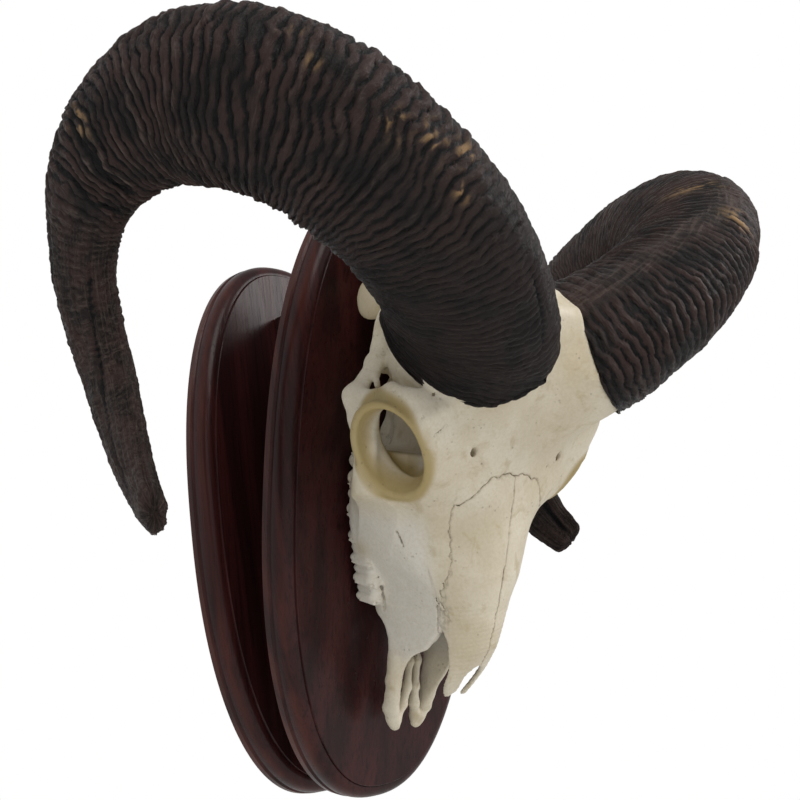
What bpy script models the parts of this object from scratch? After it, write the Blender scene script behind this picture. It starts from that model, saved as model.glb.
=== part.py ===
"""Ram skull with its horns on a double wall plaque: a still, life-size display model.

The frame is the wall's. Its origin is the middle of the rear board's back, which lies flat on the wall at
y = 0. The ram faces -Y, +Z is up, and the ram's left is +X. Lengths are millimetres until a mesh is made.

The bones are drawn in the skull's own axes: x to the ram's left, f forward along the nose and u upward
out of the forehead, from the nasion, the point between the eyes where the nasal bones begin.
"""

import math

import bmesh
import bpy
import numpy as np
import openvdb

METRE = 0.001

# Driving dimensions, in millimetres and degrees.
REAR_BOARD = (66.1, 148.3)  # half width and half height
FRONT_BOARD = (72.0, 161.3)
BOARD_THICK = 17.3
BOARD_EXPONENT = 2.32  # 2 would be an ellipse
BOARD_SEGMENTS = 36
FRONT_BACK_CENTRE = (-70.8, 8.05)  # y and z of the middle of the front board's back
FRONT_TILT = 12.4  # the front board's top leans out from the wall
JOINT_GAP = 0.4  # between pieces that touch
NASION = (-167.8, -13.0)  # y and z
SKULL_PITCH = 18.36  # the nose line hangs this far from plumb, chin to the wall
SKULL_TRIANGLES = 3000
NOSE_TRIANGLES = 6500  # of the skull that the nose's thin bones are cut from
SKULL_VOXEL = 1.6

# Midline of the skull's top: distance forward, height.
TOP_LINE = ((-132, -75), (-118, -52), (-106, -30), (-98, -14), (-93, -2), (-90, 10), (-87.5, 17.5),
            (-83, 19.5), (-60, 14), (-22, 4), (-6, 0.5), (34, 0), (58, -2), (75, -4), (87, -9), (95, -14),
            (103, -20), (112, -27))
# Radius of the rounded top across the skull.
TOP_RADIUS = ((-130, 60), (-100, 90), (-50, 240), (-26, 280), (-10, 200), (2, 105), (10, 60), (20, 43),
              (41, 32.5), (56, 21.5), (70, 16.5), (80, 15.5), (90, 14.5), (104, 13))
# Half width of the face, by distance forward (rows) and height (columns).
FACE_STATIONS = (-14, 4, 22, 41, 56, 67, 80, 104, 118, 130)
FACE_LEVELS = (-4, -20, -40, -58, -72, -84)
FACE_HALF_WIDTHS = (
    (68, 60, 54, 45, 38, 34),
    (58, 51, 51, 44.5, 38.5, 34.5),
    (42, 39, 43, 42.5, 38.5, 34.5),
    (34, 32, 37, 39.5, 37.5, 33),
    (30, 26, 30, 33, 33, 30),
    (24, 19.5, 18.5, 18.5, 18, 17),
    (20, 15.8, 15.4, 15.4, 15, 14),
    (18, 14, 13.8, 13.8, 13.2, 12),
    (12, 12, 12, 13, 12.5, 11),
    (7, 7, 7, 8, 7.5, 7),
)
FACE_BOTTOM = ((-20, -75), (56, -74), (66, -70), (72, -67.5), (75, -64), (80, -60.8), (86, -59),
               (100, -58), (130, -57.3))
# Upper edge of the upper jaw's side round the nasal opening.
OPENING_EDGE = ((52, 12), (60, -8), (66, -17), (69, -20.2), (72.5, -23.3), (79, -28.6), (83, -32.2),
                (86, -38), (89, -42.5), (95, -46.5), (104, -49), (113, -49.8), (130, -54))
# Rise of that edge on the ram's left over the one on its right.
LEFT_OPENING_RISE = ((84, 0), (93, 7.5), (99, 7), (106, 4.5), (116, 0))
JAW_FRONT = 78.0  # foremost point of the upper jaw's body
# The nasal bones, by distance forward: height of their side edges, half width of their free part, and
# half width of the notch between the two tips.
NASAL_EDGE = ((60, -21.5), (69, -21.5), (78, -17.8), (87, -17.8), (93, -20), (98, -23), (104, -28))
NASAL_SIDE = ((60, 30), (70, 18), (76, 15.6), (87, 13.2), (93, 11), (98, 9.4), (102, 7.4), (106, 5), (112, 3))
NASAL_NOTCH = ((80, -4), (86, 0), (88, 3), (92, 4.6), (100, 3.6), (103, 4.6), (108, 9))
NASAL_THICK = 2.6
WALL_THICK = 3.0
CAVITY_BACK = 44.0

# The wedge between the boards: half width, lowest and highest point of its back edge.
SPACER = (8.5, -90.0, 114.0)
# The peg that carries the skull off the front board: its place along the skull, its top and radius.
PEG_PLACE = -66.0
PEG_TOP = -76.0
PEG_RADIUS = 12.0

# Height of the front board's face under the skull, in the skull's axes, and its rise forward.
BOARD_BELOW = -82.35
BOARD_RISE = 0.1045
TOOTH_CLEARANCE = 0.8

# Eye socket ring: its centre, the way it faces, and its half length and half height.
ORBIT_CENTRE = (62.1, -13.2, -23.0)
ORBIT_FACING = (0.82, 0.486, 0.28)
ORBIT_RADII = (25.5, 18.9)
SOCKET_DEPTH = 30.0
SOCKET_SHELF = 11.0  # rise of its floor at the front and below
CHEEKBONE_BACK = -49.0  # where the cheekbone meets the braincase's half of the arch

# The horns: each a spiral about a fixed axis, given for the ram's left. The right one is mirrored.
HORN_LEFT = {
    "base": (37.2, -186.5, 52.3),
    "heading": 0.013,  # of the spiral's axis, radians from +X toward +Y
    "tilt": -0.553,
    "start_angle": 2.42,
    "turn": -5.008,
    "ease": -0.202,
    "coil": (88.8, 87.8, 80.8, 77.2, 85.3),  # coil radius at equal steps of the turn
    "advance": (0.0, 43.0, 66.0, 86.1, 137.2),  # way along the axis
    "radii": (39.0, 37.0, 33.2, 22.6, 16.0, 15.5, 8.5),
    "flatness": (0.14, 0.23, 0.33),
    "end": 0.995,  # place of the last section
    "rim_wave": (-5.6, 2.6),  # height of the rim over its plane, by the cosine and sine of twice the angle
    "rim_dip": 10.0,  # how far the rim comes down between the horns
    "tuck": 0.0,  # how much narrower the base is on one side
}
HORN_RIGHT = {
    "base": (36.3, -186.4, 52.4),
    "heading": -0.009,
    "tilt": -0.518,
    "start_angle": 2.44,
    "turn": -5.166,
    "ease": -0.069,
    "coil": (87.9, 88.6, 82.0, 78.1, 70.8),
    "advance": (0.0, 51.2, 70.1, 83.5, 136.6),
    "radii": (38.6, 36.1, 33.1, 23.2, 15.5, 14.5, 9.7),
    "flatness": (0.17, 0.24, 0.31),
    "end": 0.982,
    "rim_wave": (0.8, -5.8),
    "rim_dip": 0.0,
    "tuck": 0.134,
}
HORN_SIDES = 16
HORN_RINGS = 31
HORN_TIP_REACH = 0.7  # of its last radius
HORN_TIP_STEPS = (0.5, 0.85)
TUCK_PLACE = -0.02  # where a tuck is deepest, how far along the horn it reaches, and its angle
TUCK_REACH = 0.15
TUCK_ANGLE = 0.632
RIM_DIP_ANGLE = -1.9
RIM_DIP_WIDTH = 0.42
# Plane where the horns meet their bone, in the skull's axes.
HORN_SEAT_PLACE = -0.0021  # place along the horn
HORN_SEAT_SEARCH = (-0.12, 0.12)
HORN_SEAT = (36.86, -67.12, -3.34)
HORN_SEAT_FACING = (0.710, -0.551, 0.439)
HORN_STEP = 2.0  # how far the sheath stands out past its bone
HORN_CORE_DEPTH = 46.0  # how far the bone stub runs back along the horn from the seat
HORN_CORE_REACH = 1.0  # and on past the rim

SHARP_ANGLE = 50


# ---------------------------------------------------------------- curves and places

def curve(points, at):
    """A smooth line through (position, value) points, without overshoot, held level past its ends."""
    xs = np.array([p[0] for p in points], float)
    ys = np.array([p[1] for p in points], float)
    slope = np.diff(ys) / np.diff(xs)
    flat = slope[:-1] * slope[1:] <= 0
    mean = np.where(flat, 0, 2 * slope[:-1] * slope[1:] / np.where(flat, 1, slope[:-1] + slope[1:]))
    tangent = np.concatenate([slope[:1], mean, slope[-1:]])
    at = np.clip(at, xs[0], xs[-1])
    i = np.clip(np.searchsorted(xs, at) - 1, 0, len(xs) - 2)
    step = xs[i + 1] - xs[i]
    t = (at - xs[i]) / step
    return ((1 + 2 * t) * (1 - t) ** 2 * ys[i] + t * (1 - t) ** 2 * step * tangent[i]
            + t * t * (3 - 2 * t) * ys[i + 1] + t * t * (t - 1) * step * tangent[i + 1])


def evenly(values, at):
    """A smooth line through values that are evenly spaced from 0 to 1."""
    return curve(list(zip(np.linspace(0, 1, len(values)), values)), at)


def sheet(stations, levels, table, f, u):
    """A smooth surface through a table, read at every (f, u)."""
    columns = [curve(list(zip(stations, column)), f) for column in zip(*table)]
    result = columns[0] + 0 * u
    for i in range(len(levels) - 1):
        t = np.clip((levels[i] - u) / (levels[i] - levels[i + 1]), 0, 1)
        result = result + (columns[i + 1] - columns[i]) * t * t * (3 - 2 * t)
    return result


def unit(v):
    v = np.array(v, float)
    return v / np.linalg.norm(v)


PITCH = math.radians(SKULL_PITCH)
SKULL_AXES = np.array([
    (1, 0, 0),
    (0, math.sin(PITCH), -math.cos(PITCH)),
    (0, -math.cos(PITCH), -math.sin(PITCH)),
])


def skull_to_world(points):
    """From the skull's axes (x, f, u) to the wall's."""
    return np.asarray(points, float) @ SKULL_AXES + np.array([0, *NASION])


# ---------------------------------------------------------------- solids as distances

def join(a, b, blend):
    """Two solids with a filleted join."""
    h = np.clip(0.5 + 0.5 * (b - a) / blend, 0, 1)
    return b + (a - b) * h - blend * h * (1 - h)


def meet(a, b, blend):
    """What two solids share, with a rounded edge."""
    return -join(-a, -b, blend)


def ball(x, f, u, centre, radii):
    q = ((x - centre[0]), (f - centre[1]), (u - centre[2]))
    k0 = np.sqrt(sum((c / r) ** 2 for c, r in zip(q, radii)))
    k1 = np.sqrt(sum((c / r ** 2) ** 2 for c, r in zip(q, radii))) + 1e-9
    return k0 * (k0 - 1) / k1


def strut(x, f, u, start, end, radii, squash=(1, 1, 1)):
    """A tapered bar with round ends. A squash under 1 makes it thinner that way."""
    a = np.array(start, float) / squash
    way = np.array(end, float) / squash - a
    q = (x / squash[0] - a[0], f / squash[1] - a[1], u / squash[2] - a[2])
    t = np.clip(sum(c * w for c, w in zip(q, way)) / (way @ way), 0, 1)
    reach = np.sqrt(sum((c - t * w) ** 2 for c, w in zip(q, way)))
    return (reach - radii[0] - (radii[1] - radii[0]) * t) * min(squash)


def chain(x, f, u, points, radii, squash=(1, 1, 1), blend=2.0):
    result = None
    for i in range(len(points) - 1):
        bar = strut(x, f, u, points[i], points[i + 1], radii[i:i + 2], squash)
        result = bar if result is None else join(result, bar, blend)
    return result


def rounded_top(s, f, u):
    """Distance from the skull's arched top."""
    radius = curve(TOP_RADIUS, f)
    height = u - curve(TOP_LINE, f) + radius
    return np.hypot(s, np.maximum(height, 0)) - radius


def face(s, f, u, left):
    """Upper jaws, with the nose behind the opening."""
    top = rounded_top(s, f, u)
    side = (s - sheet(FACE_STATIONS, FACE_LEVELS, FACE_HALF_WIDTHS, f, u)) * 0.96
    bottom = curve(FACE_BOTTOM, f) - u
    block = meet(meet(top, side, 7), bottom, 7)
    hollow = meet(meet(top + NASAL_THICK, side + WALL_THICK, 4), bottom + WALL_THICK, 4)
    hollow = meet(hollow, CAVITY_BACK - f, 6)
    shell = meet(block, -hollow, 0.6)
    opening = (u - curve(OPENING_EDGE, f) - left * curve(LEFT_OPENING_RISE, f)) * 0.7
    jaw = meet(meet(shell, opening, 1.5), f - JAW_FRONT, 1.5)
    plate = meet(meet(side, -(side + 3.0), 1.2), meet(opening, f - 120, 3), 1.5)
    plate = meet(meet(meet(plate, top, 1.5), bottom, 2.5), 56 - f, 1.5)
    jaw = join(jaw, plate, 1.0)
    jaw = meet(jaw, -12 - f, 8)
    palate = ball(s, f, u, (0, 18, -78), (19, 52, 8))
    return meet(jaw, -palate, 2)


def nasal_bones(s, f, u):
    """The arched roof over the nasal opening, with a free tip on each side."""
    top = rounded_top(s, f, u)
    plate = meet(top, -(top + NASAL_THICK), 0.6)
    plate = meet(plate, curve(NASAL_EDGE, f) - u, 1.0)
    notch = (curve(NASAL_NOTCH, f) - s + 0 * u) * 0.7
    side = (s - curve(NASAL_SIDE, f) + 0 * u) * 0.9
    return meet(meet(plate, meet(notch, side, 0.6), 0.8), 38 - f, 4)


def front_teeth_bearers(s, f, u):
    """Premaxillae: a side bar, a thin middle bar and a shared tip on each side."""
    bar = chain(s, f, u, ((13.7, 92, -53), (13.2, 104, -53.2), (12.6, 112, -53.2), (11.6, 118, -54.4),
                          (8.4, 124, -54.4)), (2.3, 2.5, 2.5, 3.1, 2.8), (0.75, 1, 1.5))
    tip = strut(s, f, u, (8.4, 123.6, -54.4), (7.2, 126.8, -54), (3.2, 2.4))
    middle = chain(s, f, u, ((2.8, 60, -63), (2.7, 94, -53.6), (2.8, 107, -52.8), (4.2, 116, -53.8),
                             (6.8, 123, -54.4)), (1.9, 1.9, 1.9, 2.0, 2.3), (0.85, 1, 1.4))
    return join(join(bar, tip, 3), middle, 1.5)


def orbit_frame():
    out = unit(ORBIT_FACING)
    up = unit(np.array([0, 0, 1]) - out * out[2])
    return out, np.cross(up, out), up


def orbit_coordinates(s, f, u):
    """Ways forward and up from the ring's axis, as shares of its radii, and height out along that axis."""
    out, along, up = orbit_frame()
    q = (s - ORBIT_CENTRE[0], f - ORBIT_CENTRE[1], u - ORBIT_CENTRE[2])
    height = sum(c * w for c, w in zip(q, out))
    forward = sum(c * w for c, w in zip(q, along)) / ORBIT_RADII[0]
    rise = sum(c * w for c, w in zip(q, up)) / ORBIT_RADII[1]
    return forward, rise, height


def orbit_ring(s, f, u):
    """A short funnel of bone round the eye, wide below and sharp above."""
    forward, rise, height = orbit_coordinates(s, f, u)
    away = (np.hypot(forward, rise) - 1) * min(ORBIT_RADII)
    low = 0.5 - 0.5 * np.clip(rise, -1, 1)
    deep = 4 + 10 * low
    t = np.clip(-height / deep, 0, 1)
    thick = 0.8 + 1.2 * low
    return np.hypot(away + thick + 4.5 * t * low, height + deep * t) - thick * (1 + 0.5 * t)


def socket(s, f, u):
    """The eye's hollow, with a shelf across the front of its floor."""
    forward, rise, height = orbit_coordinates(s, f, u)
    inner = (np.hypot(forward, rise) - 0.95 - 0.012 * np.clip(height, -20, 12)) * min(ORBIT_RADII)
    shelf = SOCKET_SHELF * np.clip(0.5 + 2.5 * forward, 0, 1) * np.clip(0.6 - 1.8 * rise, 0, 1)
    return meet(meet(inner, shelf - SOCKET_DEPTH - height, 6), height - 16, 4)


def brow(s, f, u):
    """The forehead's plate out to the upper rims of the eyes."""
    top = rounded_top(s, f, u)
    thick = 9 - 3.5 * np.clip(s / 60, 0, 1)
    outline = curve(((-104, 14), (-80, 20), (-62, 34), (-50, 50), (-40, 61), (-30, 63), (-22, 61.5),
                     (-14, 58), (-5, 53), (4, 44), (10, 34), (15, 18)), f)
    side = (s - outline) * 0.85
    plate = meet(meet(top, -(top + thick), 3), side, 4)
    return meet(meet(plate, f - 12, 6), -104 - f, 10)


def braincase(s, f, u):
    case = ball(s, f, u, (0, -84, -36), (39, 48, 42))
    middle = meet(meet(np.abs(s) - 17 - 0.05 * np.abs(f), f - 6, 6), -70 - f, 6)
    middle = meet(meet(middle, u - curve(TOP_LINE, f) + 5, 6), -66 - u + 0 * s, 8)
    base = chain(s, f, u, ((0, -20, -66), (0, -60, -70), (0, -118, -74)), (11, 11, 13), (1.25, 1, 0.8), 8)
    wings = chain(s, f, u, ((13, 4, -71), (12, -18, -74), (11, -42, -74), (9, -62, -70)),
                  (4, 3.4, 3.2, 3), (0.7, 1, 1.7), 5)
    crest = chain(s, f, u, ((38, -102, -56), (35, -108, -32), (20, -113, -12), (0, -115, -5)),
                  (6, 4, 3.5, 4.5), (1, 1, 1), 5)
    nape = ball(s, f, u, (0, -110, -44), (38, 16, 38))
    hole = ball(s, f, u, (0, -126, -60), (10, 16, 9.5))
    condyle = ball(s, f, u, (13, -127, -70), (9, 9, 13))
    drum = ball(s, f, u, (25, -86, -74), (9, 12, 12))
    spur = chain(s, f, u, ((30, -112, -58), (28, -116, -76), (25, -114, -88)), (7, 5, 3), (0.8, 1, 1), 4)
    blade = ball(s, f, u, (42.5, -84, -66), (2.4, 10.7, 10.5))
    shelf = ball(s, f, u, (38, -66, -54), (12.5, 19, 3.5))
    solid = join(case, middle, 14)
    solid = join(join(solid, base, 10), nape, 8)
    solid = meet(solid, -121 - f + 0.12 * (u + 60), 5)
    solid = join(join(join(solid, crest, 9), condyle, 5), wings, 4)
    solid = join(join(join(solid, drum, 4), spur, 6), shelf, 4)
    return meet(join(solid, blade, 3), -hole, 3)


def horn_section(t):
    """Outward, sideways and forward directions and half sizes of the left horn, in the wall's axes."""
    step = 1e-3
    out = horn_points(HORN_LEFT, np.array([t]))[1]
    way = horn_points(HORN_LEFT, np.array([t + step]))[0] - horn_points(HORN_LEFT, np.array([t - step]))[0]
    way = unit(way[0])
    out = unit(out[0] - way * (out[0] @ way))
    radius = float(evenly(HORN_LEFT["radii"], t))
    flat = float(evenly(HORN_LEFT["flatness"], t))
    return out, np.cross(way, out), way, radius * (1 + flat), radius * (1 - flat)


def horn_place(s, f, u, left):
    """Place about the horn's seat: across, sideways and along the horn, and height over its rim."""
    out, side, way, tall, wide = horn_section(HORN_SEAT_PLACE)
    q = (s - HORN_SEAT[0], f - HORN_SEAT[1], u - HORN_SEAT[2])

    def along(direction):
        return sum(c * w for c, w in zip(q, direction))

    across = along(SKULL_AXES @ out) / (tall - HORN_STEP)
    sideways = along(SKULL_AXES @ side) / (wide - HORN_STEP)
    angle = np.arctan2(sideways, across)
    tuck = np.where(left, HORN_LEFT["tuck"], HORN_RIGHT["tuck"]) * ((1 + np.cos(angle - TUCK_ANGLE)) / 2) ** 2
    spread = np.hypot(across, sideways) / (1 - tuck)
    wave = np.where(left, rim_wave(HORN_LEFT, angle), rim_wave(HORN_RIGHT, angle))
    return spread, along(SKULL_AXES @ way), along(unit(HORN_SEAT_FACING)), wave, wide


def horn_seat(s, f, u, left):
    """The stub of bone that the horn sheath sits on, a little narrower than the horn."""
    spread, depth, height, wave, wide = horn_place(s, f, u, left)
    stub = (spread - 1 - 0.006 * np.minimum(depth, 0)) * wide
    top = height - wave * np.clip(spread, 0, 1) - HORN_CORE_REACH
    return meet(meet(stub, -HORN_CORE_DEPTH - depth, 12), top, 1)


def up_to_the_horn(head, s, f, u, left):
    """What of the head lies below the horn's rim."""
    _, _, height, wave, _ = horn_place(s, f, u, left)
    return meet(head, height - wave - HORN_CORE_REACH, 2)


def cheekbone(s, f, u):
    """The arch from below the eye back to the ear."""
    arch = chain(s, f, u, ((56, 6, -43), (59, -14, -43), (61.5, -26, -45), (64, -36, -47.5), (52.5, -53, -49),
                           (44, -68, -53), (34, -84, -57)),
                 (4.6, 3.8, 4.2, 4.2, 2.8, 2.8, 4.4), (0.62, 1, 1.45), 4)
    ridge = chain(s, f, u, ((60, -42, -37.3), (56, -47, -43.3), (50, -53.5, -46.2), (46, -67, -51.4)),
                  (1.4, 1.4, 1.4, 1.4))
    return join(arch, ridge, 2)


def cheek(s, f, u):
    """The swell of bone below the eye, running forward onto the upper jaw."""
    return chain(s, f, u, ((58, -4, -40), (49, 12, -44), (37, 34, -54)), (7, 9, 3), (1, 1, 1), 4)


def eye_bar(s, f, u):
    """The bar behind the eye, from the brow down to the cheekbone."""
    return chain(s, f, u, ((60, -37, -8), (66.5, -38.5, -21), (65, -36, -38)), (5.5, 4.0, 3.0),
                 (0.62, 1.25, 1), 3)


def teeth(s, f, u):
    """Six cheek teeth in a row, each with two points."""
    result = None
    front = 66.0
    for length, width in ((9, 9), (10, 11), (10.5, 12.5), (12.5, 13.5), (15, 14), (17, 13.5)):
        middle = front - length / 2
        across = 18.5 + 10.5 * math.sin(math.radians(min(90, 100 - 1.4 * middle)))
        floor = BOARD_BELOW + BOARD_RISE * middle + TOOTH_CLEARANCE
        for lobe in (-0.25, 0.25):
            place = middle + lobe * length
            narrow = 0.66 * length / width
            crown = strut(s, f, u, (across, place, -64), (across + 0.8, place, floor + 0.4 * width),
                          (0.52 * width, 0.4 * width), (1, narrow, 1))
            result = crown if result is None else join(result, crown, 1.5)
        front -= length
    return result


def skull(x, f, u):
    """The whole skull without its horns: below 0 is bone."""
    s = np.abs(x)
    left = x > 0
    head = join(brow(s, f, u), face(s, f, u, left), 8)
    head = join(head, cheek(s, f, u), 12)
    head = np.maximum(head, rounded_top(s, f, u))
    head = join(join(head, eye_bar(s, f, u), 5), braincase(s, f, u), 8)
    head = up_to_the_horn(head, s, f, u, left)
    head = join(head, horn_seat(s, f, u, left), 6)
    head = meet(head, -socket(s, f, u), 2)
    head = join(head, orbit_ring(s, f, u), 3)
    head = join(head, cheekbone(s, f, u), 3)
    head = join(head, nasal_bones(s, f, u), 0.8)
    head = join(head, front_teeth_bearers(s, f, u), 2)
    return join(head, teeth(s, f, u), 1.5)


# ---------------------------------------------------------------- meshes

def mesh_object(name, points, faces, material):
    """A mesh in metres from millimetre points, with its faces turned outward."""
    mesh = bpy.data.meshes.new(name)
    mesh.from_pydata([tuple(p) for p in np.asarray(points) * METRE], [], [tuple(f) for f in faces])
    solid = bmesh.new()
    solid.from_mesh(mesh)
    bmesh.ops.recalc_face_normals(solid, faces=solid.faces)
    if solid.calc_volume(signed=True) < 0:
        bmesh.ops.reverse_faces(solid, faces=solid.faces)
    solid.to_mesh(mesh)
    solid.free()
    mesh.materials.append(material)
    obj = bpy.data.objects.new(name, mesh)
    bpy.context.scene.collection.objects.link(obj)
    return obj


def loft(name, rings, material, first_middle=None):
    """Rings of equal length joined into a closed solid, its first end flat or fanned from a middle point."""
    count = len(rings[0])
    points = np.concatenate(rings)
    faces = []
    for i in range(len(rings) - 1):
        for j in range(count):
            k = (j + 1) % count
            faces.append((i * count + j, i * count + k, (i + 1) * count + k))
            faces.append((i * count + j, (i + 1) * count + k, (i + 1) * count + j))
    last = (len(rings) - 1) * count
    faces.append(tuple(range(last, last + count)))
    if first_middle is None:
        faces.append(tuple(reversed(range(count))))
    else:
        faces += [((j + 1) % count, j, len(points)) for j in range(count)]
        points = np.vstack([points, first_middle])
    return mesh_object(name, points, faces, material)


def applied(obj):
    """Puts an object's modifiers into its mesh."""
    graph = bpy.context.evaluated_depsgraph_get()
    mesh = bpy.data.meshes.new_from_object(obj.evaluated_get(graph))
    obj.modifiers.clear()
    obj.data = mesh
    return obj


def reduced(obj, triangles):
    """Thins a mesh out to about this many triangles."""
    reduce = obj.modifiers.new("reduce", "DECIMATE")
    reduce.ratio = triangles / sum(len(p.vertices) - 2 for p in obj.data.polygons)
    return applied(obj)


def boolean(obj, other, operation):
    """The exact solver loses the reduced skull on some of these cuts, so the manifold one makes them."""
    cut = obj.modifiers.new(operation.lower(), "BOOLEAN")
    cut.operation = operation
    cut.solver = "MANIFOLD"
    cut.object = other
    return applied(obj)


def largest_body(obj):
    """Keeps the largest connected part and drops stray chips."""
    solid = bmesh.new()
    solid.from_mesh(obj.data)
    left = set(solid.verts)
    groups = []
    while left:
        group = {left.pop()}
        edge = list(group)
        while edge:
            near = {e.other_vert(v) for v in edge for e in v.link_edges} - group
            group |= near
            edge = list(near)
        left -= group
        groups.append(group)
    groups.sort(key=len)
    stray = [v for group in groups[:-1] for v in group]
    bmesh.ops.delete(solid, geom=stray, context="VERTS")
    solid.to_mesh(obj.data)
    solid.free()


def material(name, colour, roughness, coat=0.0):
    result = bpy.data.materials.new(name)
    result.use_nodes = True
    shader = result.node_tree.nodes["Principled BSDF"]
    shader.inputs["Base Color"].default_value = (*colour, 1)
    shader.inputs["Roughness"].default_value = roughness
    shader.inputs["Coat Weight"].default_value = coat
    result.diffuse_color = (*colour, 1)
    return result


def helper(obj):
    obj.hide_render = True
    obj.display_type = "WIRE"
    return obj


def shade(obj):
    """Smooth shading, with edges over the sharp angle kept."""
    obj.data.shade_smooth()
    obj.data.set_sharp_from_angle(angle=math.radians(SHARP_ANGLE))


# ---------------------------------------------------------------- plaque

def board(name, half_width, half_height, place, wood):
    """A moulded board: a plain side, a groove, then a rounded edge up to a small step and the flat face."""
    profile = ((0, 0), (0, 4.6), (1.3, 5.2), (1.3, 6.4), (0.4, 7.6), (0.6, 10.2), (2.0, 13.2), (4.6, 15.6),
               (7.2, 16.4), (7.6, BOARD_THICK))
    rings = []
    for inset, height in profile:
        ring = []
        for k in range(BOARD_SEGMENTS):
            angle = 2 * math.pi * k / BOARD_SEGMENTS
            c, s = math.cos(angle), math.sin(angle)
            x = (half_width - inset) * math.copysign(abs(c) ** (2 / BOARD_EXPONENT), c)
            z = (half_height - inset) * math.copysign(abs(s) ** (2 / BOARD_EXPONENT), s)
            ring.append(place(x, height, z))
        rings.append(ring)
    return loft(name, rings, wood)


def on_wall(x, height, z):
    return (x, -height, z)


def on_front_board(x, height, z):
    tilt = math.radians(FRONT_TILT)
    y0, z0 = FRONT_BACK_CENTRE
    return (x, y0 - height * math.cos(tilt) - z * math.sin(tilt),
            z0 - height * math.sin(tilt) + z * math.cos(tilt))


def spacer(name, half_width, low, high, wood):
    """The wedge block that carries the front board off the rear one."""
    tilt = math.radians(FRONT_TILT)
    near = -BOARD_THICK - JOINT_GAP
    rings = []
    for x in (-half_width, half_width):
        ring = []
        for z in (low, high):
            along = (z - FRONT_BACK_CENTRE[1]) / math.cos(tilt)
            far = FRONT_BACK_CENTRE[0] + JOINT_GAP - along * math.sin(tilt)
            ring += [(x, near, z), (x, far, z)] if z == low else [(x, far, z), (x, near, z)]
        rings.append(ring)
    return loft(name, rings, wood)


# ---------------------------------------------------------------- horns

def rim_wave(shape, angle):
    """Height of a horn's rim over its seat plane."""
    wave = shape["rim_wave"][0] * np.cos(2 * angle) + shape["rim_wave"][1] * np.sin(2 * angle)
    from_dip = (angle - RIM_DIP_ANGLE + math.pi) % (2 * math.pi) - math.pi
    return wave - shape["rim_dip"] * np.exp(-(from_dip / RIM_DIP_WIDTH) ** 2)


def horn_points(shape, t):
    """Centre line of a horn, and the way out from its coil."""
    heading, tilt = shape["heading"], shape["tilt"]
    axis = np.array([math.cos(tilt) * math.cos(heading), math.cos(tilt) * math.sin(heading), math.sin(tilt)])
    first = unit(np.array([0, 0, 1]) - axis * axis[2])
    second = np.cross(axis, first)

    def spoke(angle):
        return np.cos(angle)[..., None] * first + np.sin(angle)[..., None] * second

    angle = shape["start_angle"] + shape["turn"] * t + shape["ease"] * t * (1 - t)
    start = np.array(shape["base"]) - shape["coil"][0] * spoke(np.array(shape["start_angle"]))
    centre = start + evenly(shape["coil"], t)[..., None] * spoke(angle)
    centre = centre + evenly(shape["advance"], t)[..., None] * axis
    return centre, spoke(angle)


def horn_surface(shape, t, angle, grow):
    """Points on a horn at places t along it and angles round it, a little outside it where grow is over 0."""
    step = 1e-3
    centre, out = horn_points(shape, t)
    way = horn_points(shape, t + step)[0] - horn_points(shape, t - step)[0]
    way /= np.linalg.norm(way, axis=-1)[..., None]
    out = out - way * (out * way).sum(axis=-1)[..., None]
    out /= np.linalg.norm(out, axis=-1)[..., None]
    side = np.cross(way, out)
    tuck = shape["tuck"] * np.exp(-((t - TUCK_PLACE) / TUCK_REACH) ** 2)
    tuck = tuck * ((1 + np.cos(angle - TUCK_ANGLE)) / 2) ** 2
    radius = evenly(shape["radii"], t) * (1 - tuck) + grow
    flat = evenly(shape["flatness"], t)
    return (centre + (radius * (1 + flat) * np.cos(angle))[..., None] * out
            + (radius * (1 - flat) * np.sin(angle))[..., None] * side)


def horn(name, shape, mirror, sheath, grow=0.0, back=0.0):
    """One horn, from its seat on the skull to its blunt tip, or the room that it needs."""
    angle = 2 * np.pi * np.arange(HORN_SIDES) / HORN_SIDES
    facing = unit(HORN_SEAT_FACING) @ SKULL_AXES
    near = np.linspace(*HORN_SEAT_SEARCH, 120)
    wall = horn_surface(shape, near[:, None] + 0 * angle, angle + 0 * near[:, None], 0)
    wave = rim_wave(shape, angle)
    seat = skull_to_world(HORN_SEAT)
    height = (wall - seat) @ facing - wave
    first = np.array([np.interp(0, column, near) for column in height.T])
    share = np.linspace(0, 1, HORN_RINGS)[:, None]
    end = shape["end"]
    rings = list(horn_surface(shape, first + (end - first) * share, angle + 0 * share, grow))
    rings[0] = rings[0] - ((rings[0] - seat) @ facing - wave + back)[:, None] * facing
    last = rings[-1]
    middle = horn_points(shape, np.array(end))[0]
    ahead = unit(middle - horn_points(shape, np.array(end - 0.01))[0])
    reach = HORN_TIP_REACH * np.linalg.norm(last - middle, axis=1).mean()
    for step in HORN_TIP_STEPS:
        rings.append(middle + (last - middle) * (1 - step ** 2.5) ** 0.4 + ahead * reach * step)
    side = (-1 if mirror else 1, 1, 1)
    return loft(name, [ring * side for ring in rings], sheath, rings[0].mean(axis=0) * side)


# ---------------------------------------------------------------- skull pieces

def skull_mesh(name, voxel, bone):
    """The skull's surface, read from its distances on a grid."""
    low = np.array((-80, -146, -100))
    high = np.array((80, 138, 48))
    axes = [np.arange(a, b, voxel) for a, b in zip(low, high)]
    distance = skull(axes[0][:, None, None], axes[1][None, :, None], axes[2][None, None, :])
    grid = openvdb.FloatGrid(background=voxel * 4)
    grid.copyFromArray(np.ascontiguousarray(distance, dtype=np.float64))
    points, triangles, quads = grid.convertToPolygons(isovalue=0.0, adaptivity=0.0)
    faces = [tuple(int(v) for v in face_) for face_ in (*quads, *triangles)]
    return mesh_object(name, skull_to_world(points * voxel + low), faces, bone)


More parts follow.
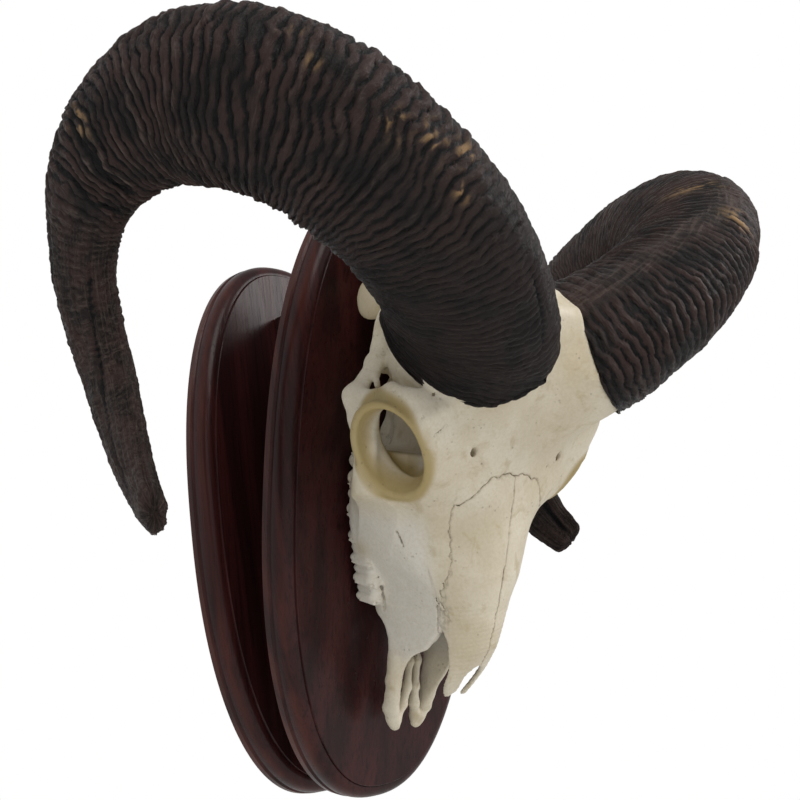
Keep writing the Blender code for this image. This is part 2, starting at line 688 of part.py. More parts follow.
def cell(name, rings, side):
    """A closed region of the skull, given on the ram's left and mirrored for its right."""
    placed = [skull_to_world(np.array(ring, float) * (side, 1, 1)) for ring in rings]
    return helper(loft(name, placed, None))


def front_cell(name, side, grow):
    """Everything ahead of the eyes: jaws and nasal bones."""
    rings = []
    for x, edge in ((JOINT_GAP / 2 - 2 * grow, -6), (17, -5), (28, 8), (35, 10), (80, 10)):
        back = edge - grow
        low = -17 - grow
        rings.append([(x, 145, 60), (x, 145, -110), (x, low, -110), (x, low, -68 + grow),
                      (x, back, -55 + grow), (x, back, 60)])
    return cell(name, rings, side)


def nasal_cell(name, side, grow):
    rings = []
    for f, wide, floor in ((-20, 12, -13), (-5, 17.5, -13), (8, 29.5, -15), (24, 28.5, -18), (41, 25.5, -20),
                           (56, 21.5, -23), (66, 17.3, -24), (70, 17, -24), (120, 17, -24)):
        inner = JOINT_GAP / 2 - 2 * grow
        outer = wide + grow
        low = floor - grow
        rings.append([(inner, f, low), (outer, f, low), (outer, f, 60), (inner, f, 60)])
    return cell(name, rings, side)


def premaxilla_cell(name, side, grow):
    top = -24.5 + grow
    rings = []
    for x in (JOINT_GAP / 2 - 2 * grow, 60):
        rings.append([(x, 70 - grow, top), (x, 150, top), (x, 150, -120), (x, 78 - grow, -120)])
    return cell(name, rings, side)


def cheekbone_cell(name, side, grow):
    """The cheekbone's share: the eye socket's lower rim and the front half of the arch behind it."""
    rings = []
    front = 10 - JOINT_GAP + grow
    back = CHEEKBONE_BACK - grow
    for x in (36 - grow, 90):
        rings.append([(x, front, -27 + grow), (x, front, -54.5), (x, -17.2, -67.5 - grow),
                      (x, back, -77 - grow), (x, back, -38 + grow), (x, -45, -38 + grow), (x, -37, -29 + grow)])
    return cell(name, rings, side)


def piece(name, whole, keep, cuts):
    """A copy of the skull cut down to its share."""
    obj = whole.copy()
    obj.data = whole.data.copy()
    obj.name = name
    obj.hide_render = False
    obj.display_type = "TEXTURED"
    bpy.context.scene.collection.objects.link(obj)
    if keep is not None:
        boolean(obj, keep, "INTERSECT")
    for cut in cuts:
        boolean(obj, cut, "DIFFERENCE")
    largest_body(obj)
    return obj


def dowel(name, foot, top, radius, sides, wood):
    """A round peg between two points."""
    foot = np.array(foot, float)
    top = np.array(top, float)
    way = unit(top - foot)
    across = unit(np.cross(way, (1, 0, 0)))
    other = np.cross(way, across)
    turn = 2 * np.pi * np.arange(sides) / sides
    ring = np.outer(np.cos(turn), across) * radius + np.outer(np.sin(turn), other) * radius
    return loft(name, [foot + ring, top + ring], wood)


def main():
    for obj in list(bpy.data.objects):
        bpy.data.objects.remove(obj)
    wood = material("mahogany", (0.045, 0.014, 0.013), 0.32, 0.4)
    bone = material("bone", (0.78, 0.73, 0.62), 0.6)
    sheath = material("horn", (0.035, 0.026, 0.023), 0.55)

    board("plaque_rear", *REAR_BOARD, on_wall, wood)
    board("plaque_front", *FRONT_BOARD, on_front_board, wood)
    spacer("plaque_spacer", *SPACER, wood)

    tilt = math.radians(FRONT_TILT)
    out = np.array((0, -math.cos(tilt), -math.sin(tilt)))
    seat = skull_to_world((0, PEG_PLACE, 0))
    face_point = np.array((0, *FRONT_BACK_CENTRE)) + out * BOARD_THICK
    foot = seat - out * ((seat - face_point) @ out - JOINT_GAP)
    top = skull_to_world((0, PEG_PLACE, PEG_TOP))
    top = foot + out * ((top - foot) @ out)
    dowel("skull_peg", foot, top, PEG_RADIUS, 24, wood)
    peg_room = helper(dowel("peg_room", foot - out * 5, top + out * JOINT_GAP, PEG_RADIUS + JOINT_GAP, 24, wood))

    horn("horn_left", HORN_LEFT, False, sheath)
    horn("horn_right", HORN_RIGHT, True, sheath)
    rooms = [helper(horn("horn_room_left", HORN_LEFT, False, sheath, 2 * JOINT_GAP, JOINT_GAP)),
             helper(horn("horn_room_right", HORN_RIGHT, True, sheath, 2 * JOINT_GAP, JOINT_GAP))]

    whole = helper(skull_mesh("skull_whole", SKULL_VOXEL, bone))
    fine = helper(whole.copy())
    bpy.context.scene.collection.objects.link(fine)
    reduced(whole, SKULL_TRIANGLES)
    reduced(fine, NOSE_TRIANGLES)

    around = [peg_room, *rooms]
    for word, side in (("left", 1), ("right", -1)):
        front = front_cell("front_" + word, side, 0)
        nasal = nasal_cell("nasal_room_" + word, side, 0)
        nose = nasal_cell("nose_room_" + word, side, JOINT_GAP)
        tip = premaxilla_cell("premaxilla_room_" + word, side, 0)
        tip_wide = premaxilla_cell("tip_room_" + word, side, JOINT_GAP)
        cheek_room = cheekbone_cell("cheek_room_" + word, side, 0)
        around.append(front_cell("front_wide_" + word, side, JOINT_GAP))
        around.append(cheekbone_cell("cheek_wide_" + word, side, JOINT_GAP))
        nasal_piece = piece("nasal_" + word, fine, nasal, ())
        boolean(nasal_piece, front, "INTERSECT")
        piece("premaxilla_" + word, fine, tip, ())
        piece("maxilla_" + word, whole, front, (nose, tip_wide))
        piece("cheekbone_" + word, whole, cheek_room, ())
    piece("cranium", whole, None, around)

    for obj in bpy.context.scene.objects:
        if not obj.hide_render:
            shade(obj)


if __name__ == "__main__":
    main()
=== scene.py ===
"""Ram skull wall mount: fine bones, horn sheaths and moulded boards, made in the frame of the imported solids.

The origin is the middle of the rear board's back, on the wall. The ram faces -Y, +Z is up, and the ram's
left is +X. Shapes are worked out in millimetres and turned into metres when a mesh is made. The bones are
drawn in the skull's own axes: x to the ram's left, f forward along the nose and u upward out of the
forehead, from the nasion.
"""

import functools
import itertools
import math
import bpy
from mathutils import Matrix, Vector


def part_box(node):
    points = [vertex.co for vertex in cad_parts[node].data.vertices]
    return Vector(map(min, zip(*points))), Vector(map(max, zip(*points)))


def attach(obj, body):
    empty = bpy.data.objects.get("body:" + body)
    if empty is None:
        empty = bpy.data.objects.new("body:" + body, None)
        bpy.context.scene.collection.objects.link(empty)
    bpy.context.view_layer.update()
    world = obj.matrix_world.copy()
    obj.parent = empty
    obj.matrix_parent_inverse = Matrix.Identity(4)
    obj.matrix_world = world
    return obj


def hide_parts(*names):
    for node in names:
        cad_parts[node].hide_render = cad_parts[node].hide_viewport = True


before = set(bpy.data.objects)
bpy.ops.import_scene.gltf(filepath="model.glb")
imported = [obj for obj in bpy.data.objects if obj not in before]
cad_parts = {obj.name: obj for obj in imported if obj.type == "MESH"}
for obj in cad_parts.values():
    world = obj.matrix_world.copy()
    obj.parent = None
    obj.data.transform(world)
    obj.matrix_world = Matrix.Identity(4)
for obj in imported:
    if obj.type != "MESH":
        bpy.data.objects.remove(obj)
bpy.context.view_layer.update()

from concurrent.futures import ThreadPoolExecutor

import bpy
import numpy as np
import openvdb
from bpy.props import FloatProperty, FloatVectorProperty, IntProperty, PointerProperty
from mathutils import Color, Matrix, Vector

bl_info = {
    "name": "Ram Skull Wall Mount",
    "version": (1, 0, 0),
    "blender": (4, 5, 0),
    "location": "View3D > Sidebar > Ram Mount",
    "description": "Builds a ram skull with its horns on a double wall plaque",
    "category": "Object",
}

METRE = 0.001
BODY = "root"

# Camera: place in millimetres, heading and tilts in radians, and lens.
CAMERA_PLACE = (-457.0, -542.6, -89.0)
CAMERA_YAW = 0.80233
CAMERA_PITCH = 0.21029
CAMERA_ROLL = -0.12293
CAMERA_LENS = 56.25
CAMERA_SENSOR = 36.0
LIGHT_TARGET = (0, -0.15, 0.02)  # where both lights point, in metres

# Skull: the nasion's y and z, and how far the nose line hangs from plumb.
NASION = (-167.8, -13.0)
SKULL_PITCH = 18.36
CRANIUM_VOXEL = 0.9  # grid step of the forehead and the braincase
OPEN_SEAM = 0.06  # half the gap of the seams round the nasal bones
OPEN_SEAM_REACH = 31.0  # how far from the middle the seam across the forehead is open
CLOSED_SEAM = -0.5  # the other seams have closed, so their bones run into each other

# Midline of the skull's top: distance forward, height.
TOP_LINE = ((-132, -75), (-118, -52), (-106, -30), (-98, -14), (-93, -2), (-90, 10), (-87.5, 17.5),
            (-83, 19.5), (-60, 14), (-22, 4), (-6, 0.5), (34, 0), (58, -2), (75, -4), (87, -9), (95, -14),
            (103, -20), (112, -27))
# Radius of the rounded top across the skull.
TOP_RADIUS = ((-130, 60), (-100, 90), (-50, 240), (-26, 280), (-10, 200), (2, 105), (10, 60), (20, 43),
              (41, 32.5), (56, 21.5), (70, 16.5), (80, 15.5), (90, 14.5), (104, 13))
# Half width of the face, by distance forward (rows) and height (columns).
FACE_STATIONS = (-14, 4, 22, 41, 56, 67, 80, 104, 118, 130)
FACE_LEVELS = (-4, -20, -40, -58, -72, -84)
FACE_HALF_WIDTHS = (
    (68, 60, 54, 45, 38, 34),
    (58, 51, 51, 44.5, 38.5, 34.5),
    (42, 39, 43, 42.5, 38.5, 34.5),
    (34, 32, 37, 39.5, 37.5, 33),
    (30, 26, 30, 33, 33, 30),
    (24, 19.5, 18.5, 18.5, 18, 17),
    (20, 15.8, 15.4, 15.4, 15, 14),
    (18, 14, 13.8, 13.8, 13.2, 12),
    (12, 12, 12, 13, 12.5, 11),
    (7, 7, 7, 8, 7.5, 7),
)
FACE_BOTTOM = ((-20, -75), (56, -74), (66, -70), (72, -67.5), (75, -64), (80, -60.8), (86, -59),
               (100, -58), (130, -57.3))
# Upper edge of the upper jaw's side round the nasal opening.
OPENING_EDGE = ((52, 12), (60, -8), (66, -17), (69, -20.2), (72.5, -23.3), (79, -28.6), (83, -32.2),
                (86, -38), (89, -42.5), (95, -46.5), (104, -49), (113, -49.8), (130, -54))
# Rise of that edge on the ram's left over the one on its right.
LEFT_OPENING_RISE = ((84, 0), (93, 7.5), (99, 7), (106, 4.5), (116, 0))
JAW_FRONT = 78.0  # foremost point of the upper jaw's body
# The nasal bones, by distance forward: height of their side edges, half width of their free part, and
# half width of the notch between the two tips.
NASAL_EDGE = ((60, -21.5), (69, -21.5), (78, -17.8), (87, -17.8), (93, -20), (98, -23), (104, -28))
NASAL_SIDE = ((60, 30), (70, 18), (76, 15.6), (87, 13.2), (93, 11), (98, 9.4), (102, 7.4), (106, 5), (112, 3))
NASAL_NOTCH = ((80, -4), (86, 0), (88, 3), (92, 4.6), (100, 3.6), (103, 4.6), (108, 9))
NASAL_THICK = 2.6
WALL_THICK = 3.0
CAVITY_BACK = 44.0
SIDE_PLATE = (56.0, 120.0)  # how far back and forward the thin plate beside the opening reaches

# Height of the front board's face under the skull, in the skull's axes, and its rise forward.
BOARD_BELOW = -82.35
BOARD_RISE = 0.1045
TOOTH_CLEARANCE = 0.8

# Eye socket ring: its centre, the way it faces, and its half length and half height.
ORBIT_CENTRE = (62.1, -13.2, -23.0)
ORBIT_FACING = (0.82, 0.486, 0.28)
ORBIT_RADII = (25.5, 18.9)
SOCKET_DEPTH = 30.0
SOCKET_SHELF = 11.0  # rise of its floor at the front and below
CHEEKBONE_BACK = -49.0  # where the cheekbone meets the braincase's half of the arch

# The horns: each a spiral about a fixed axis, given for the ram's left. The right one is mirrored.
HORN_LEFT = {
    "base": (37.2, -186.5, 52.3),
    "heading": 0.013,  # of the spiral's axis, radians from +X toward +Y
    "tilt": -0.553,
    "start_angle": 2.42,
    "turn": -5.008,
    "ease": -0.202,
    "coil": (88.8, 87.8, 80.8, 77.2, 85.3),  # coil radius at equal steps of the turn
    "advance": (0.0, 43.0, 66.0, 86.1, 137.2),  # way along the axis
    "radii": (39.0, 37.0, 33.2, 22.6, 16.0, 15.5, 8.5),
    "flatness": (0.14, 0.23, 0.33),
    "end": 0.995,  # place of the last section
    "rim_wave": (-5.6, 2.6),  # height of the rim over its plane, by the cosine and sine of twice the angle
    "rim_dip": 10.0,  # how far the rim comes down between the horns
    "tuck": 0.0,  # how much narrower the base is on one side
}
HORN_RIGHT = {
    "base": (36.3, -186.4, 52.4),
    "heading": -0.009,
    "tilt": -0.518,
    "start_angle": 2.44,
    "turn": -5.166,
    "ease": -0.069,
    "coil": (87.9, 88.6, 82.0, 78.1, 70.8),
    "advance": (0.0, 51.2, 70.1, 83.5, 136.6),
    "radii": (38.6, 36.1, 33.1, 23.2, 15.5, 14.5, 9.7),
    "flatness": (0.17, 0.24, 0.31),
    "end": 0.982,
    "rim_wave": (0.8, -5.8),
    "rim_dip": 0.0,
    "tuck": 0.134,
}
HORN_ROWS = 660
HORN_COLUMNS = 144
HORN_SHEATH_RADIUS = 30.0  # of the round coordinate that patterns on the sheath follow
HORN_TIP_REACH = 0.7  # of its last radius
HORN_TIP_STEPS = 7
HORN_TIP_LAST = 0.97  # of the way over the tip, where its last ring lies
HORN_LIP = 0.0016  # how far along the horn the rim's scallops reach
HORN_UNDER = 3.4  # how far in the sheath's foot ends
LENGTH_PLACES = np.linspace(-0.1, 1, 400)  # where the way along a horn is summed up
TUCK_PLACE = -0.02  # where a tuck is deepest, how far along the horn it reaches, and its angle
TUCK_REACH = 0.15
TUCK_ANGLE = 0.632
BASE_BLEND = 0.08  # how far along the horn its direction settles at the base
RIM_DIP_ANGLE = -1.9
RIM_DIP_WIDTH = 0.42
# Plane where the horns meet their bone, in the skull's axes.
HORN_SEAT_PLACE = -0.0021  # place along the horn
HORN_SEAT_SEARCH = np.linspace(-0.12, 0.12, 240)
HORN_SEAT = (36.86, -67.12, -3.34)
HORN_SEAT_FACING = (0.710, -0.551, 0.439)
HORN_STEP = 2.0  # how far the sheath stands out past its bone
HORN_CORE_DEPTH = 46.0  # how far the bone stub runs back along the horn from the seat
HORN_CORE_REACH = 1.0  # and on past the rim

# Boards, peg and wedge: the outline's exponent, thickness, and the front board's place and lean.
BOARD_EXPONENT = 2.32
BOARD_SEGMENTS = 224
BOARD_THICK = 17.3
FACE_INSETS = (2, 12, 26, 42)  # of the rings across a board's flat face, in from its moulding
BACK_RING = 0.6  # size of the ring across its back, as a share of the outline
JOINT_GAP = 0.4  # between pieces of wood that touch
SHARP_ANGLE = 38  # degrees
FRONT_BACK_CENTRE = (-70.8, 8.05)
FRONT_TILT = 12.4
PEG_PLACE = -66.0
PEG_TOP = -76.0
PEG_RADIUS = 12.0
PEG_SIDES = 72
PEG_CHAMFER = 0.8
WEDGE_BEVEL = 0.8


# ---------------------------------------------------------------- curves and places

def curve(points, at):
    """A smooth line through (position, value) points, without overshoot, held level past its ends."""
    xs = np.array([p[0] for p in points], float)
    ys = np.array([p[1] for p in points], float)
    slope = np.diff(ys) / np.diff(xs)
    flat = slope[:-1] * slope[1:] <= 0
    mean = np.where(flat, 0, 2 * slope[:-1] * slope[1:] / np.where(flat, 1, slope[:-1] + slope[1:]))
    tangent = np.concatenate([slope[:1], mean, slope[-1:]])
    at = np.clip(at, xs[0], xs[-1])
    i = np.clip(np.searchsorted(xs, at) - 1, 0, len(xs) - 2)
    step = xs[i + 1] - xs[i]
    t = (at - xs[i]) / step
    return ((1 + 2 * t) * (1 - t) ** 2 * ys[i] + t * (1 - t) ** 2 * step * tangent[i]
            + t * t * (3 - 2 * t) * ys[i + 1] + t * t * (t - 1) * step * tangent[i + 1])


def evenly(values, at):
    """A smooth line through values that are evenly spaced from 0 to 1."""
    return curve(list(zip(np.linspace(0, 1, len(values)), values)), at)


def sheet(stations, levels, table, f, u):
    """A smooth surface through a table, read at every (f, u)."""
    columns = [curve(list(zip(stations, column)), f) for column in zip(*table)]
    result = columns[0] + 0 * u
    for i in range(len(levels) - 1):
        t = np.clip((levels[i] - u) / (levels[i] - levels[i + 1]), 0, 1)
        result = result + (columns[i + 1] - columns[i]) * t * t * (3 - 2 * t)
    return result


def unit(v):
    v = np.array(v, float)
    return v / np.linalg.norm(v)


def ramp(value, low, high):
    """0 at low, 1 at high, with soft ends."""
    t = np.clip((value - low) / (high - low), 0, 1)
    return t * t * (3 - 2 * t)


PITCH = math.radians(SKULL_PITCH)
SKULL_AXES = np.array([
    (1, 0, 0),
    (0, math.sin(PITCH), -math.cos(PITCH)),
    (0, -math.cos(PITCH), -math.sin(PITCH)),
])


def skull_to_world(points):
    """From the skull's axes (x, f, u) to the wall's."""
    return np.asarray(points, float) @ SKULL_AXES + np.array([0, *NASION])


def noise(points, size, seed):
    """Smooth random values from -1 to 1, about one bump for every size."""
    table = np.random.default_rng(seed).uniform(-1, 1, (32, 32, 32))
    q = np.asarray(points) / size
    cell = np.floor(q).astype(int)
    t = q - cell
    t = t * t * (3 - 2 * t)
    total = np.zeros(q.shape[:-1])
    for corner in itertools.product((0, 1), repeat=3):
        weight = np.prod(np.where(corner, t, 1 - t), axis=-1)
        i = (cell + corner) % 32
        total += weight * table[i[..., 0], i[..., 1], i[..., 2]]
    return total


# ---------------------------------------------------------------- solids as distances

def join(a, b, blend):
    """Two solids with a filleted join."""
    h = np.clip(0.5 + 0.5 * (b - a) / blend, 0, 1)
    return b + (a - b) * h - blend * h * (1 - h)


def meet(a, b, blend):
    """What two solids share, with a rounded edge."""
    return -join(-a, -b, blend)


def grown(solid, *parts):
    """A solid with parts joined on in turn, each given with its blend."""
    for part, blend in parts:
        solid = join(solid, part, blend)
    return solid


def trimmed(solid, *parts):
    """What a solid shares with parts in turn, each given with its blend."""
    for part, blend in parts:
        solid = meet(solid, part, blend)
    return solid


def common(*solids):
    """What several solids share, with sharp edges."""
    return functools.reduce(np.maximum, solids)


def ball(x, f, u, centre, radii):
    q = ((x - centre[0]), (f - centre[1]), (u - centre[2]))
    k0 = np.sqrt(sum((c / r) ** 2 for c, r in zip(q, radii)))
    k1 = np.sqrt(sum((c / r ** 2) ** 2 for c, r in zip(q, radii))) + 1e-9
    return k0 * (k0 - 1) / k1


def strut(x, f, u, start, end, radii, squash=(1, 1, 1)):
    """A tapered bar with round ends. A squash under 1 makes it thinner that way."""
    a = np.array(start, float) / squash
    way = np.array(end, float) / squash - a
    q = (x / squash[0] - a[0], f / squash[1] - a[1], u / squash[2] - a[2])
    t = np.clip(sum(c * w for c, w in zip(q, way)) / (way @ way), 0, 1)
    reach = np.sqrt(sum((c - t * w) ** 2 for c, w in zip(q, way)))
    return (reach - radii[0] - (radii[1] - radii[0]) * t) * min(squash)


def chain(x, f, u, points, radii, squash=(1, 1, 1), blend=2.0):
    """Tapered bars from point to point."""
    bars = [strut(x, f, u, *points[i:i + 2], radii[i:i + 2], squash) for i in range(len(points) - 1)]
    return grown(bars[0], *((bar, blend) for bar in bars[1:]))


def rounded_top(s, f, u):
    """Distance from the skull's arched top."""
    radius = curve(TOP_RADIUS, f)
    height = u - curve(TOP_LINE, f) + radius
    return np.hypot(s, np.maximum(height, 0)) - radius


def face(s, f, u, left):
    """Upper jaws, with the nose behind the opening."""
    top = rounded_top(s, f, u)
    side = (s - sheet(FACE_STATIONS, FACE_LEVELS, FACE_HALF_WIDTHS, f, u)) * 0.96
    bottom = curve(FACE_BOTTOM, f) - u
    hollow = trimmed(top + NASAL_THICK, (side + WALL_THICK, 4), (bottom + WALL_THICK, 4),
                     (CAVITY_BACK - f, 6))
    shell = trimmed(top, (side, 7), (bottom, 7), (-hollow, 0.6))
    opening = (u - curve(OPENING_EDGE, f) - left * curve(LEFT_OPENING_RISE, f)) * 0.7
    jaw = trimmed(shell, (opening, 1.5), (f - JAW_FRONT, 1.5))
    plate = trimmed(side, (-(side + WALL_THICK), 1.2), (meet(opening, f - SIDE_PLATE[1], 3), 1.5),
                    (top, 1.5), (bottom, 2.5), (SIDE_PLATE[0] - f, 1.5))
    palate = ball(s, f, u, (0, 18, -78), (19, 52, 8))
    return trimmed(join(jaw, plate, 1.0), (-12 - f, 8), (-palate, 2))


def nasal_bones(s, f, u):
    """The arched roof over the nasal opening, with a free tip on each side."""
    top = rounded_top(s, f, u)
    notch = (curve(NASAL_NOTCH, f) - s + 0 * u) * 0.7
    side = (s - curve(NASAL_SIDE, f) + 0 * u) * 0.9
    return trimmed(top, (-(top + NASAL_THICK), 0.6), (curve(NASAL_EDGE, f) - u, 1.0),
                   (meet(notch, side, 0.6), 0.8), (38 - f, 4))


def front_teeth_bearers(s, f, u):
    """Premaxillae: a side bar, a thin middle bar and a shared tip on each side."""
    bar = chain(s, f, u, ((13.7, 92, -53), (13.2, 104, -53.2), (12.6, 112, -53.2), (11.6, 118, -54.4),
                          (8.4, 124, -54.4)), (2.3, 2.5, 2.5, 3.1, 2.8), (0.75, 1, 1.5))
    tip = strut(s, f, u, (8.4, 123.6, -54.4), (7.2, 126.8, -54), (3.2, 2.4))
    middle = chain(s, f, u, ((2.8, 60, -63), (2.7, 94, -53.6), (2.8, 107, -52.8), (4.2, 116, -53.8),
                             (6.8, 123, -54.4)), (1.9, 1.9, 1.9, 2.0, 2.3), (0.85, 1, 1.4))
    return grown(bar, (tip, 3), (middle, 1.5))


def orbit_frame():
    out = unit(ORBIT_FACING)
    up = unit(np.array([0, 0, 1]) - out * out[2])
    return out, np.cross(up, out), up


def orbit_coordinates(s, f, u):
    """Ways forward and up from the ring's axis, as shares of its radii, and height out along that axis."""
    out, along, up = orbit_frame()
    q = (s - ORBIT_CENTRE[0], f - ORBIT_CENTRE[1], u - ORBIT_CENTRE[2])
    height = sum(c * w for c, w in zip(q, out))
    forward = sum(c * w for c, w in zip(q, along)) / ORBIT_RADII[0]
    rise = sum(c * w for c, w in zip(q, up)) / ORBIT_RADII[1]
    return forward, rise, height


def orbit_ring(s, f, u):
    """A short funnel of bone round the eye, wide below and sharp above."""
    forward, rise, height = orbit_coordinates(s, f, u)
    away = (np.hypot(forward, rise) - 1) * min(ORBIT_RADII)
    low = 0.5 - 0.5 * np.clip(rise, -1, 1)
    deep = 4 + 10 * low
    t = np.clip(-height / deep, 0, 1)
    thick = 0.8 + 1.2 * low
    return np.hypot(away + thick + 4.5 * t * low, height + deep * t) - thick * (1 + 0.5 * t)


def socket(s, f, u):
    """The eye's hollow, with a shelf across the front of its floor."""
    forward, rise, height = orbit_coordinates(s, f, u)
    inner = (np.hypot(forward, rise) - 0.95 - 0.012 * np.clip(height, -20, 12)) * min(ORBIT_RADII)
    shelf = SOCKET_SHELF * np.clip(0.5 + 2.5 * forward, 0, 1) * np.clip(0.6 - 1.8 * rise, 0, 1)
    return trimmed(inner, (shelf - SOCKET_DEPTH - height, 6), (height - 16, 4))


def brow(s, f, u):
    """The forehead's plate out to the upper rims of the eyes."""
    top = rounded_top(s, f, u)
    thick = 9 - 3.5 * np.clip(s / 60, 0, 1)
    outline = curve(((-104, 14), (-80, 20), (-62, 34), (-50, 50), (-40, 61), (-30, 63), (-22, 61.5),
                     (-14, 58), (-5, 53), (4, 44), (10, 34), (15, 18)), f)
    return trimmed(top, (-(top + thick), 3), ((s - outline) * 0.85, 4), (f - 12, 6), (-104 - f, 10))


def braincase(s, f, u):
    """The back of the skull, from the middle wall between the eyes to the nape."""
    case = ball(s, f, u, (0, -84, -36), (39, 48, 42))
    middle = trimmed(np.abs(s) - 17 - 0.05 * np.abs(f), (f - 6, 6), (-70 - f, 6),
                     (u - curve(TOP_LINE, f) + 5, 6), (-66 - u + 0 * s, 8))
    base = chain(s, f, u, ((0, -20, -66), (0, -60, -70), (0, -118, -74)), (11, 11, 13), (1.25, 1, 0.8), 8)
    wings = chain(s, f, u, ((13, 4, -71), (12, -18, -74), (11, -42, -74), (9, -62, -70)),
                  (4, 3.4, 3.2, 3), (0.7, 1, 1.7), 5)
    crest = chain(s, f, u, ((38, -102, -56), (35, -108, -32), (20, -113, -12), (0, -115, -5)),
                  (6, 4, 3.5, 4.5), (1, 1, 1), 5)
    nape = ball(s, f, u, (0, -110, -44), (38, 16, 38))
    hole = ball(s, f, u, (0, -126, -60), (10, 16, 9.5))
    condyle = ball(s, f, u, (13, -127, -70), (9, 9, 13))
    drum = ball(s, f, u, (25, -86, -74), (9, 12, 12))
    spur = chain(s, f, u, ((30, -112, -58), (28, -116, -76), (25, -114, -88)), (7, 5, 3), (0.8, 1, 1), 4)
    blade = ball(s, f, u, (42.5, -84, -66), (2.4, 10.7, 10.5))
    shelf = ball(s, f, u, (38, -66, -54), (12.5, 19, 3.5))
    solid = grown(case, (middle, 14), (base, 10), (nape, 8))
    solid = meet(solid, -121 - f + 0.12 * (u + 60), 5)
    solid = grown(solid, (crest, 9), (condyle, 5), (wings, 4), (drum, 4), (spur, 6), (shelf, 4), (blade, 3))
    return meet(solid, -hole, 3)


def horn_section(t):
    """Outward, sideways and forward directions and half sizes of the left horn, in the wall's axes."""
    step = 1e-3
    out = horn_points(HORN_LEFT, np.array([t]))[1]
    way = horn_points(HORN_LEFT, np.array([t + step]))[0] - horn_points(HORN_LEFT, np.array([t - step]))[0]
    way = unit(way[0])
    out = unit(out[0] - way * (out[0] @ way))
    radius = float(evenly(HORN_LEFT["radii"], t))
    flat = float(evenly(HORN_LEFT["flatness"], t))
    return out, np.cross(way, out), way, radius * (1 + flat), radius * (1 - flat)


def horn_place(s, f, u, left):
    """Place about the horn's seat: across, sideways and along the horn, and height over its rim."""
    out, side, way, tall, wide = horn_section(HORN_SEAT_PLACE)
    q = (s - HORN_SEAT[0], f - HORN_SEAT[1], u - HORN_SEAT[2])

    def along(direction):
        return sum(c * w for c, w in zip(q, direction))

    across = along(SKULL_AXES @ out) / (tall - HORN_STEP)
    sideways = along(SKULL_AXES @ side) / (wide - HORN_STEP)
    angle = np.arctan2(sideways, across)
    tuck = np.where(left, HORN_LEFT["tuck"], HORN_RIGHT["tuck"]) * ((1 + np.cos(angle - TUCK_ANGLE)) / 2) ** 2
    spread = np.hypot(across, sideways) / (1 - tuck)
    wave = np.where(left, rim_wave(HORN_LEFT, angle), rim_wave(HORN_RIGHT, angle))
    return spread, along(SKULL_AXES @ way), along(unit(HORN_SEAT_FACING)), wave, wide


def horn_seat(s, f, u, left):
    """The stub of bone that the horn sheath sits on, a little narrower than the horn."""
    spread, depth, height, wave, wide = horn_place(s, f, u, left)
    stub = (spread - 1 - 0.006 * np.minimum(depth, 0)) * wide
    top = height - wave * np.clip(spread, 0, 1) - HORN_CORE_REACH
    return trimmed(stub, (-HORN_CORE_DEPTH - depth, 12), (top, 1))


def up_to_the_horn(head, s, f, u, left):
    """What of the head lies below the horn's rim."""
    _, _, height, wave, _ = horn_place(s, f, u, left)
    return meet(head, height - wave - HORN_CORE_REACH, 2)


def cheekbone(s, f, u):
    """The arch from below the eye back to the ear."""
    arch = chain(s, f, u, ((56, 6, -43), (59, -14, -43), (61.5, -26, -45), (64, -36, -47.5), (52.5, -53, -49),
                           (44, -68, -53), (34, -84, -57)),
                 (4.6, 3.8, 4.2, 4.2, 2.8, 2.8, 4.4), (0.62, 1, 1.45), 4)
    ridge = chain(s, f, u, ((60, -42, -37.3), (56, -47, -43.3), (50, -53.5, -46.2), (46, -67, -51.4)),
                  (1.4, 1.4, 1.4, 1.4))
    return join(arch, ridge, 2)


def cheek(s, f, u):
    """The swell of bone below the eye, running forward onto the upper jaw."""
    return chain(s, f, u, ((58, -4, -40), (49, 12, -44), (37, 34, -54)), (7, 9, 3), (1, 1, 1), 4)


def eye_bar(s, f, u):
    """The bar behind the eye, from the brow down to the cheekbone."""
    return chain(s, f, u, ((60, -37, -8), (66.5, -38.5, -21), (65, -36, -38)), (5.5, 4.0, 3.0),
                 (0.62, 1.25, 1), 3)


def teeth(s, f, u):
    """Six cheek teeth in a row, each with two points and upright folds on its cheek side."""
    parts = []
    front = 66.0
    for length, width in ((9, 9), (10, 11), (10.5, 12.5), (12.5, 13.5), (15, 14), (17, 13.5)):
        middle = front - length / 2
        across = 18.5 + 10.5 * math.sin(math.radians(min(90, 100 - 1.4 * middle)))
        floor = BOARD_BELOW + BOARD_RISE * middle + TOOTH_CLEARANCE
        for lobe in (-0.25, 0.25):
            place = middle + lobe * length
            narrow = 0.66 * length / width
            crown = strut(s, f, u, (across, place, -64), (across + 0.8, place, floor + 0.4 * width),
                          (0.52 * width, 0.4 * width), (1, narrow, 1))
            parts.append((crown, 1.5))
        for fold in (-0.46, 0.44):
            place = middle + fold * length
            outer = across + 0.5 * width
            ridge = strut(s, f, u, (outer - 0.7, place, -60), (outer - 0.4, place, floor + 5), (0.9, 0.6))
            parts.append((ridge, 0.9))
        front -= length
    return grown(parts[0][0], *parts[1:])


def openings(s, f, u):
    """Small openings for nerves and vessels."""
    above_eye = chain(s, f, u, ((31.2, -18.5, 4), (30.4, -16, -3), (28, -10, -9)), (1.9, 1.7, 1.4))
    beside = strut(s, f, u, (23.9, -12.4, 3), (23.5, -11, -5), (0.7, 0.6))
    on_jaw = strut(s, f, u, (16, 68, -61.5), (24, 50, -60), (1.3, 1.3))
    return functools.reduce(np.minimum, (above_eye, beside, on_jaw))


